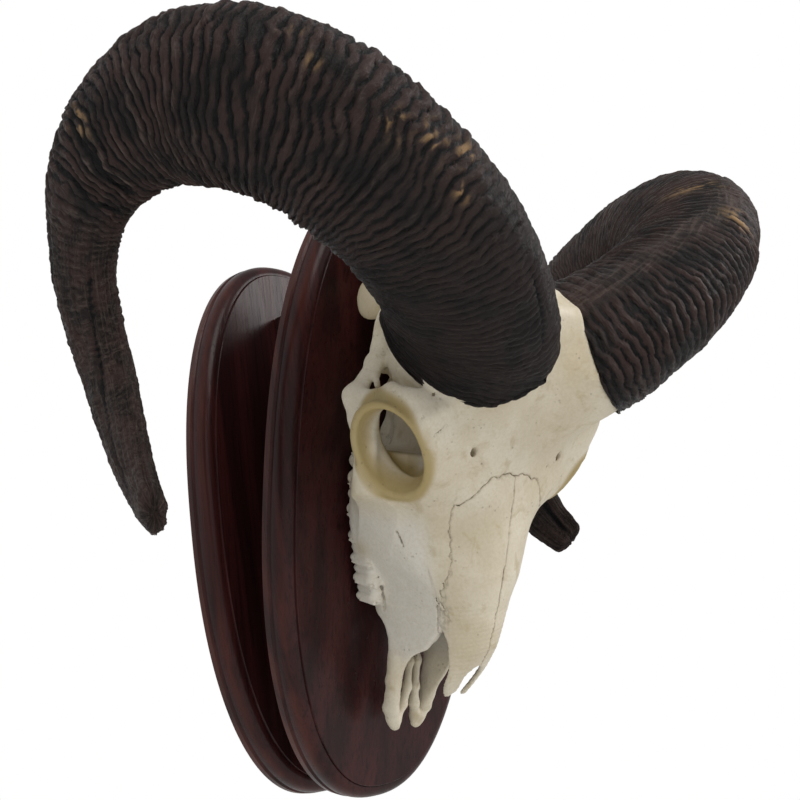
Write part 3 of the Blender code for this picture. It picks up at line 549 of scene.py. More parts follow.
def skull(x, f, u):
    """The whole skull without its horns: below 0 is bone."""
    s = np.abs(x)
    left = x > 0
    head = grown(brow(s, f, u), (face(s, f, u, left), 8), (cheek(s, f, u), 12))
    head = common(head, rounded_top(s, f, u))
    head = grown(head, (eye_bar(s, f, u), 5), (braincase(s, f, u), 8))
    head = join(up_to_the_horn(head, s, f, u, left), horn_seat(s, f, u, left), 6)
    head = meet(head, -socket(s, f, u), 2)
    head = grown(head, (orbit_ring(s, f, u), 3), (cheekbone(s, f, u), 3), (nasal_bones(s, f, u), 0.8),
                 (front_teeth_bearers(s, f, u), 2), (teeth(s, f, u), 1.5))
    return meet(head, -openings(s, f, u), 0.7)


# ---------------------------------------------------------------- each bone's share of the skull

def zigzag(a, b):
    """The small in and out of a seam between two bones."""
    return 0.5 * np.sin(1.15 * a + 1.1 * np.sin(0.43 * b)) + 0.35 * np.sin(2.3 * b + 0.8 * np.sin(0.7 * a))


def ahead_of_eyes(s, f, u):
    edge = np.interp(s, (0, 6, 17, 28, 35, 80), (-7, -7.5, -4.5, 8, 10, 10))
    low = np.clip((-55 - u) / 13, 0, 1)
    return (edge + (-17 - edge) * low + zigzag(s, u) - f) * 0.8


def under_nasals(s, f, u):
    wide = curve(((-20, 12), (-5, 17.5), (2, 33), (9, 31.5), (21, 29), (27, 27.5), (37, 25.5), (45, 24.6),
                  (52, 22.5), (59, 19.5), (66, 17.3), (70, 17)), f)
    floor = curve(((-5, -13), (8, -15), (24, -18), (41, -20), (56, -23), (66, -24), (90, -24), (98, -30)), f)
    return np.maximum(s - wide - 0.6 * zigzag(f, u), floor - u)


def at_front_teeth(s, f, u):
    edge = 70 + 8 * np.clip((-24.5 - u) / 95, 0, 1)
    return np.maximum(edge + 0.8 * zigzag(u, s) - f, u + 24.5)


CHEEK_OUTLINE = ((10, -27), (10, -54.5), (-17.2, -67.5), (CHEEKBONE_BACK, -77), (CHEEKBONE_BACK, -38),
                 (-45, -38), (-37, -29))


def at_cheekbone(s, f, u):
    """Distance from the cheekbone's share, an outline seen from the side."""
    f = f + 0.5 * zigzag(u, s)
    reach = np.inf
    inside = -1
    for (fa, ua), (fb, ub) in zip(CHEEK_OUTLINE, CHEEK_OUTLINE[1:] + CHEEK_OUTLINE[:1]):
        df, du = fb - fa, ub - ua
        t = np.clip(((f - fa) * df + (u - ua) * du) / (df * df + du * du), 0, 1)
        reach = np.minimum(reach, np.hypot(f - fa - t * df, u - ua - t * du))
        crossing = ((ua > u) != (ub > u)) & (f < df * (u - ua) / (du if du else 1) + fa)
        inside = np.where(crossing, -inside, inside)
    return np.maximum(-inside * reach, 36 - s)


def behind_horns(s, f, u):
    """Distance from the back of the skull, behind the seam that runs down from behind the horns."""
    edge = np.interp(u, (-70, -50, -12, 30), (-46, -52, -84, -92))
    return (f - edge + 1.4 * zigzag(u, s)) * 0.75


# Each share is given for either side: x is measured from the middle, and side is -1 for the ram's right.
# The frontal bones and the braincase span both sides, so they are made once, with side 1.

def frontal_share(x, f, u, side):
    s = np.abs(x)
    front_seam = np.where(s < OPEN_SEAM_REACH, OPEN_SEAM, CLOSED_SEAM)
    return common(skull(side * x, f, u), CLOSED_SEAM - behind_horns(s, f, u),
                  front_seam - ahead_of_eyes(s, f, u), CLOSED_SEAM - at_cheekbone(s, f, u))


def braincase_share(x, f, u, side):
    s = np.abs(x)
    return common(skull(side * x, f, u), CLOSED_SEAM + behind_horns(s, f, u),
                  CLOSED_SEAM - ahead_of_eyes(s, f, u), CLOSED_SEAM - at_cheekbone(s, f, u))


def maxilla_share(x, f, u, side):
    return common(skull(side * x, f, u), CLOSED_SEAM + ahead_of_eyes(x, f, u),
                  OPEN_SEAM - under_nasals(x, f, u), CLOSED_SEAM - at_front_teeth(x, f, u),
                  CLOSED_SEAM - at_cheekbone(x, f, u), CLOSED_SEAM - x)


def nasal_share(x, f, u, side):
    middle = OPEN_SEAM - x + side * (0.25 * np.sin(f / 1.7) + 0.2 * np.sin(f / 4.1))
    return common(skull(side * x, f, u), OPEN_SEAM + ahead_of_eyes(x, f, u),
                  OPEN_SEAM + under_nasals(x, f, u), middle)


def premaxilla_share(x, f, u, side):
    return common(skull(side * x, f, u), CLOSED_SEAM + at_front_teeth(x, f, u), CLOSED_SEAM - x)


def cheekbone_share(x, f, u, side):
    return common(skull(side * x, f, u), CLOSED_SEAM + at_cheekbone(x, f, u))


# ---------------------------------------------------------------- meshes

def mesh_object(name, points, faces):
    """A mesh in metres from millimetre points and face arrays of three or four corners, turned outward."""
    mesh = bpy.data.meshes.new(name)
    corners = np.concatenate([f.reshape(-1) for f in faces]).astype(np.int32)
    sizes = np.concatenate([np.full(len(f), f.shape[1]) for f in faces])
    mesh.vertices.add(len(points))
    mesh.vertices.foreach_set("co", (np.asarray(points) * METRE).astype(np.float32).ravel())
    mesh.loops.add(len(corners))
    mesh.loops.foreach_set("vertex_index", corners)
    mesh.polygons.add(len(sizes))
    mesh.polygons.foreach_set("loop_start", (np.cumsum(sizes) - sizes).astype(np.int32))
    mesh.update(calc_edges=True)
    mesh.validate()
    if signed_volume(points, faces) < 0:
        mesh.flip_normals()
    mesh.shade_smooth()
    obj = bpy.data.objects.new(name, mesh)
    bpy.context.scene.collection.objects.link(obj)
    return obj


def signed_volume(points, faces):
    points = np.asarray(points)
    total = 0.0
    for f in faces:
        for k in range(1, f.shape[1] - 1):
            total += (points[f[:, 0]] * np.cross(points[f[:, k]], points[f[:, k + 1]])).sum()
    return total


def tube(name, rings, ends):
    """A closed mesh from rings of equal length, fanned to a middle point at each end."""
    rows, columns = np.shape(rings)[:2]
    points = np.concatenate([np.reshape(rings, (-1, 3)), ends])
    i, j = np.meshgrid(np.arange(rows - 1), np.arange(columns), indexing="ij")
    k = (j + 1) % columns
    quads = [i * columns + j, i * columns + k, (i + 1) * columns + k, (i + 1) * columns + j]
    ring = np.arange(columns)
    step = (ring + 1) % columns
    last = (rows - 1) * columns
    foot = np.stack([step, ring, np.full(columns, rows * columns)], -1)
    top = np.stack([last + ring, last + step, np.full(columns, rows * columns + 1)], -1)
    return mesh_object(name, points, [np.stack(quads, -1).reshape(-1, 4), np.concatenate([foot, top])])


def applied(obj):
    """Puts an object's modifiers into its mesh."""
    graph = bpy.context.evaluated_depsgraph_get()
    mesh = bpy.data.meshes.new_from_object(obj.evaluated_get(graph))
    obj.modifiers.clear()
    obj.data = mesh
    mesh.name = obj.name
    mesh.shade_smooth()
    return obj


def sharpened(obj):
    obj.data.set_sharp_from_angle(angle=math.radians(SHARP_ANGLE))
    return obj


def main_body(count, faces):
    """True for the points of the part with the most points, so that loose chips can be dropped."""
    label = np.arange(count)
    while True:
        new = label.copy()
        for f in faces:
            low = label[f].min(axis=1)
            np.minimum.at(new, f.ravel(), np.repeat(low, f.shape[1]))
        new = new[new]
        if (new == label).all():
            return label == np.bincount(label).argmax()
        label = new


def surface(share, low, high, voxel):
    """Points and faces of one bone, read from its distances on a grid."""
    axes = [np.arange(a, b, voxel) for a, b in zip(low, high)]

    def slab(part):
        return share(axes[0][:, None, None], part[None, :, None], axes[2][None, None, :])

    with ThreadPoolExecutor(4) as pool:
        distance = np.concatenate(list(pool.map(slab, np.array_split(axes[1], 8))), axis=1)
    grid = openvdb.FloatGrid(background=voxel * 4)
    grid.copyFromArray(np.ascontiguousarray(distance, dtype=np.float64))
    points, triangles, quads = grid.convertToPolygons(isovalue=0.0, adaptivity=0.0)
    faces = [f.astype(int) for f in (quads, triangles) if len(f)]
    kept = main_body(len(points), faces)
    index = np.cumsum(kept) - 1
    faces = [index[f[kept[f[:, 0]]]] for f in faces]
    return points[kept] * voxel + low, [f for f in faces if len(f)]


def point_attribute(obj, name, values):
    values = np.asarray(values, np.float32)
    kind = "FLOAT" if values.ndim == 1 else "FLOAT_VECTOR"
    made = obj.data.attributes.new(name, kind, "POINT")
    made.data.foreach_set("value" if values.ndim == 1 else "vector", values.ravel())


def vertex_normals(obj):
    normals = np.empty(len(obj.data.vertices) * 3, np.float32)
    obj.data.vertex_normals.foreach_get("vector", normals)
    return normals.reshape(-1, 3)


# ---------------------------------------------------------------- node trees

class Wiring:
    """Adds nodes to a tree and joins their sockets."""

    def __init__(self, tree):
        self.tree = tree

    def add(self, kind, inputs=None, output=0, **settings):
        node = self.tree.nodes.new(kind)
        for key, value in settings.items():
            setattr(node, key, value)
        for key, value in (inputs or {}).items():
            socket = node.inputs[key]
            if isinstance(value, bpy.types.NodeSocket):
                self.tree.links.new(value, socket)
            else:
                socket.default_value = value
        return node.outputs[output] if len(node.outputs) else node

    def math(self, operation, *values):
        return self.add("ShaderNodeMath", dict(enumerate(values)), operation=operation)

    def times(self, *values):
        return self.math("MULTIPLY", *values)

    def plus(self, *values):
        return self.math("ADD", *values)

    def minus(self, *values):
        return self.math("SUBTRACT", *values)

    def scaled(self, vector, scale):
        return self.add("ShaderNodeVectorMath", {0: vector, 1: scale}, operation="MULTIPLY")

    def noise(self, vector, scale, detail=2.0, roughness=0.5, distortion=0.0):
        """Noise of this scale, stretched where the scale has three values."""
        if isinstance(scale, tuple):
            vector, scale = self.scaled(vector, scale), 1.0
        return self.add("ShaderNodeTexNoise", {"Vector": vector, "Scale": scale, "Detail": detail,
                                               "Roughness": roughness, "Distortion": distortion})

    def smooth(self, value, low, high, start=0.0, end=1.0):
        values = {"Value": value, "From Min": low, "From Max": high, "To Min": start, "To Max": end}
        return self.add("ShaderNodeMapRange", values, interpolation_type="SMOOTHSTEP")

    def mix(self, factor, first, second, blend="MIX"):
        node = self.tree.nodes.new("ShaderNodeMix")
        node.data_type = "RGBA"
        node.blend_type = blend
        sockets = {s.identifier: s for s in node.inputs}
        for key, value in (("Factor_Float", factor), ("A_Color", first), ("B_Color", second)):
            if isinstance(value, bpy.types.NodeSocket):
                self.tree.links.new(value, sockets[key])
            else:
                sockets[key].default_value = (*value, 1) if isinstance(value, (tuple, Color)) else value
        return next(s for s in node.outputs if s.identifier == "Result_Color")

    def attribute(self, name, output="Fac"):
        return self.add("ShaderNodeAttribute", output=output, attribute_name=name)


def new_material(name):
    """A node material, with its wiring and its shader."""
    material = bpy.data.materials.new(name)
    material.use_nodes = True
    return material, Wiring(material.node_tree), material.node_tree.nodes["Principled BSDF"]


def shaded(material, shader, tone, roughness, normal, specular):
    """Joins a material's colour, roughness and bump to its shader."""
    links = material.node_tree.links
    links.new(tone, shader.inputs["Base Color"])
    links.new(roughness, shader.inputs["Roughness"])
    links.new(normal, shader.inputs["Normal"])
    shader.inputs["Specular IOR Level"].default_value = specular
    return material


def bone_material(settings):
    """Cleaned bone: ivory with warm hollows that are partly painted shade, dark fine pits and dirty seams,
    painted shade by the far horn, beside the near nasal and below the near eye, and painted light in the eye
    sockets.
    """
    material, w, shader = new_material("ram_bone")
    place = w.add("ShaderNodeTexCoord", output="Object")
    broad = w.noise(place, 22, 3, 0.55)
    cloudy = w.noise(place, 95, 4, 0.6, 0.6)
    grain = w.noise(place, 700, 3, 0.6)
    tone = w.mix(w.smooth(broad, 0.38, 0.62), settings.pale, settings.ivory)
    tone = w.mix(w.smooth(cloudy, 0.52, 0.75, 0, 0.45), tone, settings.warm_and_shade)
    # The warm mask: yellowed hollows and a stain, and painted shade on the forehead by the far horn and beside
    # the near nasal.
    tone = w.mix(w.attribute("warm_and_shade"), tone, settings.warm_and_shade)
    # The pale mask whitens the side of the face, and paints light on the eye sockets' inner walls.
    tone = w.mix(w.attribute("pale"), tone, settings.white)
    pits = w.add("ShaderNodeTexVoronoi", {"Vector": place, "Scale": 420.0}, output="Distance")
    sparse = w.smooth(w.noise(place, 130, 2), 0.55, 0.68)
    pit = w.times(w.smooth(pits, 0.30, 0.12), sparse)
    tone = w.mix(w.times(pit, 0.3), tone, settings.dirt_and_shade)
    # Dirt in the seams and cracks, and painted shadow along the line below the near eye's rim.
    seam_and_shadow = w.times(w.attribute("dirt_and_shade"), w.smooth(w.noise(place, 380, 3, 0.7), 0.40, 0.60))
    tone = w.mix(seam_and_shadow, tone, settings.dirt_and_shade)
    tone = w.mix(w.smooth(grain, 0.35, 0.7, 0, 0.16), tone, settings.warm_and_shade)
    bump = w.minus(w.times(grain, 0.30), w.times(pit, 0.8))
    bump = w.minus(bump, w.times(seam_and_shadow, 0.7))
    bump = w.plus(bump, w.times(cloudy, 0.8))
    normal = w.add("ShaderNodeBump", {"Height": bump, "Strength": 0.5, "Distance": 0.0005})
    return shaded(material, shader, tone, w.smooth(cloudy, 0.3, 0.7, 0.48, 0.66), normal, 0.35)


def horn_material(settings):
    """Dry horn: near black in the grooves and creases as painted shade, brown on the ribs, with ochre scuffs
    on the highest places.
    """
    material, w, shader = new_material("ram_horn")
    sheath = w.attribute("sheath", "Vector")
    height = w.attribute("height")
    worn = w.attribute("worn")
    patchy = w.smooth(worn, 0.0, 0.8, 0.25, 1.0)
    across = w.noise(sheath, (0.7, 0.12, 0.12), 4, 0.62, 0.8)
    fine = w.noise(sheath, (1.7, 0.6, 0.6), 3, 0.6)
    lengthwise = w.noise(sheath, (0.06, 0.7, 0.7), 3, 0.6)
    cloudy = w.noise(sheath, (0.06, 0.06, 0.06), 3, 0.55)
    tone = w.mix(w.times(w.smooth(cloudy, 0.32, 0.62), patchy), settings.dark, settings.brown)
    top = w.times(w.smooth(height, 0.55, 0.92), w.smooth(across, 0.40, 0.68))
    tone = w.mix(w.times(top, w.math("MINIMUM", w.times(worn, 0.62), 1.0)), tone, settings.rib)
    long_tone = w.times(w.smooth(lengthwise, 0.50, 0.68, 0, 0.5), w.attribute("streaky"))
    tone = w.mix(long_tone, tone, settings.rib)
    # Painted shade: darker where the relief is low, in the grooves, crinkles and creases.
    tone = w.mix(w.smooth(height, 0.50, 0.10), tone, settings.groove)
    spots = w.noise(sheath, (0.22, 0.16, 0.16), 3, 0.6)
    scuff = w.times(w.attribute("scuff"), w.smooth(spots, 0.40, 0.56))
    scuff = w.times(scuff, w.smooth(height, 0.35, 0.8))
    tone = w.mix(scuff, tone, settings.ochre)
    bump = w.plus(across, w.times(fine, 0.5))
    bump = w.plus(bump, w.times(lengthwise, w.times(w.attribute("streaky"), 0.8)))
    normal = w.add("ShaderNodeBump", {"Height": bump, "Strength": 0.85, "Distance": 0.0012})
    return shaded(material, shader, tone, w.smooth(across, 0.3, 0.7, 0.55, 0.36), normal, 0.19)


def wood_material(settings):
    """Dark mahogany under satin lacquer, with upright grain and rubbed red edges."""
    material, w, shader = new_material("ram_mahogany")
    place = w.add("ShaderNodeTexCoord", output="Object")
    band = w.noise(place, (60, 60, 3.2), 3, 0.55, 0.4)
    streak = w.noise(place, (620, 620, 16), 3, 0.65)
    pore = w.noise(place, (1500, 1500, 42), 2, 0.5)
    tone = w.mix(w.smooth(band, 0.35, 0.68), settings.dark, settings.red)
    tone = w.mix(w.smooth(streak, 0.45, 0.75, 0, 0.7), tone, settings.black)
    tone = w.mix(w.smooth(pore, 0.60, 0.72, 0, 0.8), tone, settings.black)
    rubbed = w.times(w.attribute("rubbed"), w.smooth(band, 0.3, 0.6))
    tone = w.mix(rubbed, tone, settings.rubbed)
    bump = w.minus(w.times(streak, 0.4), w.smooth(pore, 0.6, 0.75))
    normal = w.add("ShaderNodeBump", {"Height": bump, "Strength": 0.35, "Distance": 0.0002})
    shader.inputs["Coat Weight"].default_value = 0.10
    shader.inputs["Coat Roughness"].default_value = 0.2
    return shaded(material, shader, tone, w.smooth(streak, 0.3, 0.7, 0.27, 0.36), normal, 0.17)


def finish(obj, material, nodes):
    """Gives a piece its material, puts it on the mount's body and hides the imported parts it stands in for.
    """
    obj.data.materials.clear()
    obj.data.materials.append(material)
    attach(obj, BODY)
    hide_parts(*nodes)


# ---------------------------------------------------------------- horns

def rim_wave(shape, angle):
    """Height of a horn's rim over its seat plane."""
    wave = shape["rim_wave"][0] * np.cos(2 * angle) + shape["rim_wave"][1] * np.sin(2 * angle)
    from_dip = (angle - RIM_DIP_ANGLE + math.pi) % (2 * math.pi) - math.pi
    return wave - shape["rim_dip"] * np.exp(-(from_dip / RIM_DIP_WIDTH) ** 2)


def horn_points(shape, t):
    """Centre line of a horn, and the way out from its coil."""
    heading, tilt = shape["heading"], shape["tilt"]
    axis = np.array([math.cos(tilt) * math.cos(heading), math.cos(tilt) * math.sin(heading), math.sin(tilt)])
    first = unit(np.array([0, 0, 1]) - axis * axis[2])
    second = np.cross(axis, first)

    def spoke(angle):
        return np.cos(angle)[..., None] * first + np.sin(angle)[..., None] * second

    angle = shape["start_angle"] + shape["turn"] * t + shape["ease"] * t * (1 - t)
    start = np.array(shape["base"]) - shape["coil"][0] * spoke(np.array(shape["start_angle"]))
    centre = start + evenly(shape["coil"], t)[..., None] * spoke(angle)
    centre = centre + evenly(shape["advance"], t)[..., None] * axis
    return centre, spoke(angle)


def horn_surface(shape, t, angle, grow):
    """Points on a horn at places t along it and angles round it, a little outside it where grow is over 0."""
    step = np.clip(BASE_BLEND - abs(t), 1e-3, BASE_BLEND)
    centre, out = horn_points(shape, t)
    way = horn_points(shape, t + step)[0] - horn_points(shape, t - step)[0]
    way /= np.linalg.norm(way, axis=-1)[..., None]
    out = out - way * (out * way).sum(axis=-1)[..., None]
    out /= np.linalg.norm(out, axis=-1)[..., None]
    side = np.cross(way, out)
    tuck = shape["tuck"] * np.exp(-((t - TUCK_PLACE) / TUCK_REACH) ** 2)
    tuck = tuck * ((1 + np.cos(angle - TUCK_ANGLE)) / 2) ** 2
    radius = evenly(shape["radii"], t) * (1 - tuck) + grow
    flat = evenly(shape["flatness"], t)
    return (centre + (radius * (1 + flat) * np.cos(angle))[..., None] * out
            + (radius * (1 - flat) * np.sin(angle))[..., None] * side)


def rib_tree():
    """Raises ribs, lumps and streaks on a horn sheath, by the attributes its points carry."""
    tree = bpy.data.node_groups.new("horn_ribs", "GeometryNodeTree")
    tree.is_modifier = True
    tree.interface.new_socket("Geometry", in_out="INPUT", socket_type="NodeSocketGeometry")
    for name in ("Rib Count", "Rib Depth", "Lump Depth", "Streak Depth", "Waviness", "Seed"):
        tree.interface.new_socket(name, in_out="INPUT", socket_type="NodeSocketFloat")
    tree.interface.new_socket("Finish", in_out="INPUT", socket_type="NodeSocketMaterial")
    tree.interface.new_socket("Geometry", in_out="OUTPUT", socket_type="NodeSocketGeometry")
    w = Wiring(tree)
    entry = tree.nodes.new("NodeGroupInput").outputs
    seed = w.add("ShaderNodeCombineXYZ", {"X": entry["Seed"], "Y": entry["Seed"], "Z": entry["Seed"]})

    def stored(name, kind="FLOAT"):
        return w.add("GeometryNodeInputNamedAttribute", {"Name": name}, output="Attribute", data_type=kind)

    sheath = w.add("ShaderNodeVectorMath", {0: stored("sheath", "FLOAT_VECTOR"), 1: seed}, operation="ADD")
    relief = stored("relief")
    streaky = stored("streaky")
    crease = stored("crease")
    lumpy = stored("lumpy")

    wide = w.noise(sheath, (0.022, 0.022, 0.022), 1, 0.5)
    narrow = w.noise(sheath, (0.07, 0.13, 0.13), 2, 0.5)
    drift = w.times(w.times(w.minus(narrow, 0.5), 1.8), entry["Waviness"])
    drift = w.plus(w.times(w.minus(wide, 0.5), 5.0), drift)
    phase = w.plus(w.times(stored("phase"), entry["Rib Count"]), drift)
    wave = w.math("COSINE", w.times(phase, 2 * math.pi))
    groove = w.math("POWER", w.times(w.plus(wave, 1.0), 0.5), 2.6)
    which = w.math("FLOOR", phase)
    size = w.add("ShaderNodeTexWhiteNoise", {"W": which}, noise_dimensions="1D")
    size = w.smooth(size, 0.0, 1.0, 0.62, 1.0)
    broken = w.noise(sheath, (0.16, 0.09, 0.09), 2, 0.6)
    size = w.times(size, w.smooth(broken, 0.32, 0.55, 0.62, 1.0))
    rib = w.times(w.minus(1.0, groove), size)

    crinkle = w.noise(sheath, (0.42, 0.11, 0.11), 2, 0.6, 0.6)
    crinkle = w.times(w.smooth(crinkle, 0.62, 0.36), 0.28)
    sunk = w.times(w.plus(w.minus(1.0, rib), crinkle), relief)
    sunk = w.times(sunk, entry["Rib Depth"])

    fine_lump = w.noise(sheath, (0.12, 0.09, 0.09), 1, 0.5)
    lump = w.plus(w.noise(sheath, (0.045, 0.05, 0.05), 1, 0.5), w.times(fine_lump, 0.9))
    lump = w.times(w.minus(1.3, lump), entry["Lump Depth"])
    streak = w.noise(sheath, (0.014, 0.22, 0.22), 3, 0.6)
    streak = w.times(w.times(w.smooth(streak, 0.62, 0.40), streaky), entry["Streak Depth"])
    depth = w.plus(w.plus(sunk, w.times(lump, lumpy)), w.plus(streak, crease))
    # Height for the painted shade: low in the grooves, crinkles and creases.
    shown = w.minus(1.0, w.times(w.minus(1.0, rib), w.math("MINIMUM", relief, 1.0)))
    shown = w.minus(shown, w.plus(w.times(crinkle, 0.9), w.times(crease, 0.6)))

    away = w.add("ShaderNodeVectorMath", {0: w.add("GeometryNodeInputNormal"),
                                          "Scale": w.times(depth, -METRE)}, operation="SCALE")
    kept = w.add("GeometryNodeStoreNamedAttribute", {"Geometry": entry["Geometry"], "Name": "height",
                                                     "Value": shown}, data_type="FLOAT", domain="POINT")
    moved = w.add("GeometryNodeSetPosition", {"Geometry": kept, "Offset": away})
    realized = w.add("GeometryNodeRealizeInstances", {"Geometry": moved})
    coloured = w.add("GeometryNodeSetMaterial", {"Geometry": realized, "Material": entry["Finish"]})
    leave = tree.nodes.new("NodeGroupOutput")
    tree.links.new(coloured, leave.inputs["Geometry"])
    return tree


def with_tree(obj, tree, values):
    """Changes an object's mesh by a node tree, with these values for its named inputs."""
    modifier = obj.modifiers.new(tree.name, "NODES")
    modifier.node_group = tree
    for item in tree.interface.items_tree:
        if item.item_type == "SOCKET" and item.in_out == "INPUT" and item.name in values:
            modifier[item.identifier] = values[item.name]
    return applied(obj)


def horn_rings(shape, look):
    """One sheath's rings of points from foot to tip, its tip, and where on the horn the points lie."""
    angle = 2 * np.pi * np.arange(HORN_COLUMNS) / HORN_COLUMNS
    facing = unit(HORN_SEAT_FACING) @ SKULL_AXES
    near = HORN_SEAT_SEARCH
    wall = horn_surface(shape, near[:, None] + 0 * angle, angle + 0 * near[:, None], 0)
    height = (wall - skull_to_world(HORN_SEAT)) @ facing - rim_wave(shape, angle)
    first = np.array([np.interp(0, column, near) for column in height.T])
    scallop = noise(np.stack([9 * np.cos(angle), 9 * np.sin(angle), 0 * angle + look["seed"]], -1), 1.5, 5)
    lip = first - HORN_LIP * (1 + scallop)
    end = shape["end"]
    place = lip + (end - lip) * np.linspace(0, 1, HORN_ROWS)[:, None]
    rings = list(horn_surface(shape, place, angle + 0 * place, curve(look["grow"], place)))
    last = rings[-1]
    middle = horn_points(shape, np.array(end))[0]
    ahead = unit(middle - horn_points(shape, np.array(end - 0.01))[0])
    reach = HORN_TIP_REACH * np.linalg.norm(last - middle, axis=1).mean()
    tip_steps = np.linspace(0, HORN_TIP_LAST, HORN_TIP_STEPS + 1)[1:]
    for step in tip_steps:
        rings.append(middle + (last - middle) * (1 - step ** 2.5) ** 0.4 + ahead * reach * step)
    foot = horn_surface(shape, first[None, :], angle[None, :], -HORN_UNDER)[0]
    rings = [foot, (foot + rings[0]) / 2, *rings]
    t = np.concatenate([first[None, :], first[None, :], place, np.repeat(place[-1:], HORN_TIP_STEPS, axis=0)])
    past_end = np.concatenate([np.zeros(HORN_ROWS + 2), reach * tip_steps])[:, None]
    return rings, middle + ahead * reach, t, past_end, angle


def horn_sheath(name, shape, mirror, look):
    """One horn sheath as a fine grid of points that carry where its ribs, creases and scuffs lie."""
    rings, tip, t, past_end, angle = horn_rings(shape, look)
    side = (-1 if mirror else 1, 1, 1)
    obj = tube(name, np.array(rings) * side, np.array([rings[0].mean(axis=0), tip]) * side)

    line = horn_points(shape, LENGTH_PLACES)[0]
    step_lengths = np.linalg.norm(np.diff(line, axis=0), axis=1)
    ribs = np.cumsum(step_lengths / curve(look["rib_spacing"], LENGTH_PLACES[1:]))
    along = np.interp(t, LENGTH_PLACES, np.concatenate([[0], np.cumsum(step_lengths)])) + past_end
    around = np.broadcast_to(angle, t.shape)
    round_it = HORN_SHEATH_RADIUS * np.stack([np.cos(around), np.sin(around)], -1)
    reach_in = np.minimum(np.arange(len(rings)) / 2, 1)[:, None]  # nothing is cut into the foot
    keel = keel_on(look, t, around) if look["keel"] else 0 * t
    values = {
        "sheath": np.concatenate([along[..., None], round_it], -1),
        "relief": relief_on(look, t, around) * reach_in * (1 - 0.75 * keel),
        "crease": crease_on(look, t, around) * reach_in,
        "scuff": scuff_on(look, t, around),
        "streaky": np.maximum(ramp(t, *look["streaks_from"]) * reach_in, keel),
        "lumpy": curve(look["lumps"], t),
        "worn": curve(look["wear"], t),
        "phase": (np.interp(t, LENGTH_PLACES, np.concatenate([[0], ribs]))
                  + past_end / look["rib_spacing"][-1][1]),
    }
    for key, grid in values.items():
        flat = grid.reshape(-1, *grid.shape[2:])
        point_attribute(obj, key, np.concatenate([flat, flat[:1], flat[-1:]]))
    return obj


def turned(around, centre):
    """Angle from a line on the horn, from -pi to pi."""
    return (around - centre + np.pi) % (2 * np.pi) - np.pi


def relief_on(look, t, around):
    """How strong the ribs are, from 0 to 1."""
    face = np.exp(-(turned(around, look["rib_face"]) / look["rib_face_width"]) ** 2)
    strength = curve(look["rib_strength"], t)
    return strength * (look["rib_least"] + (1 - look["rib_least"]) * face)


def crease_on(look, t, around):
    """Depth in millimetres of the creases, along the horn or, where their width is 0, across it."""
    depth = np.zeros(t.shape)
    for start, end, deep, width in look["creases"]:
        if width:
            way = np.clip((t - start[0]) / (end[0] - start[0]), 0, 1)
            line = start[1] + (end[1] - start[1]) * way
            inside = ramp(t, start[0] - 0.012, start[0] + 0.02) * ramp(t, end[0] + 0.012, end[0] - 0.02)
            cut = np.exp(-(turned(around, line) / width) ** 2)
        else:
            way = np.clip((turned(around, 1.7) + 1.7 - start[1]) / (end[1] - start[1]), 0, 1)
            line = start[0] + (end[0] - start[0]) * way + 0.003 * np.sin(7 * around)
            inside = ramp(abs(way - 0.5), 0.5, 0.35)
            cut = np.exp(-((t - line) / 0.0035) ** 2)
        depth = np.maximum(depth, deep * inside * cut)
    return depth


def keel_on(look, t, around):
    """Where the smooth, streaked keel runs, from 0 to 1."""
    line = curve(look["keel"], t)
    near = np.exp(-(turned(around, line) / look["keel_width"]) ** 4)
    return near * ramp(t, -0.01, 0.03) * ramp(t, 0.3, 0.2)


def scuff_on(look, t, around):
    """Where rubbed ochre patches lie."""
    total = np.zeros(t.shape)
    for place, angle, long, wide in look["scuffs"]:
        total = np.maximum(total, np.exp(-((t - place) / long) ** 2 - (turned(around, angle) / wide) ** 2))
    return total


LEFT_LOOK = {
    "seed": 17.0,
    "grow": ((0, 0.9), (0.12, 0.26), (1, 0.26)),
    "rib_spacing": ((0, 3.7), (0.15, 3.6), (0.3, 3.2), (1, 4.0)),
    "waviness": 0.75,
    "rib_face": -0.3,
    "rib_face_width": 1.3,
    "rib_least": 0.55,
    "rib_strength": ((0, 1.15), (0.1, 1.15), (0.25, 0.8), (0.5, 0.6), (0.7, 0.4), (0.9, 0.2), (1, 0.1)),
    "lumps": ((0, 0.8), (0.3, 0.8), (0.8, 1.2), (1, 1.0)),
    "wear": ((0, 0.6), (0.15, 0.9), (0.3, 1.0), (1, 0.5)),
    "streaks_from": (0.55, 0.85),
    "keel": ((0, -1.35), (0.03, -1.3), (0.09, -1.2), (0.154, -0.95), (0.2, -0.6), (0.3, -0.4)),
    "keel_width": 0.24,
    "creases": (((0.75, 0.4), (0.99, 0.7), 1.6, 0.16), ((0.8, 2.6), (0.97, 2.4), 1.0, 0.12),
                ((0.86, -2.2), (1.0, -1.8), 1.8, 0.16)),
    "scuffs": ((0.246, -1.05, 0.012, 0.3), (0.184, -0.35, 0.012, 0.25), (0.30, 1.6, 0.03, 0.4)),
}
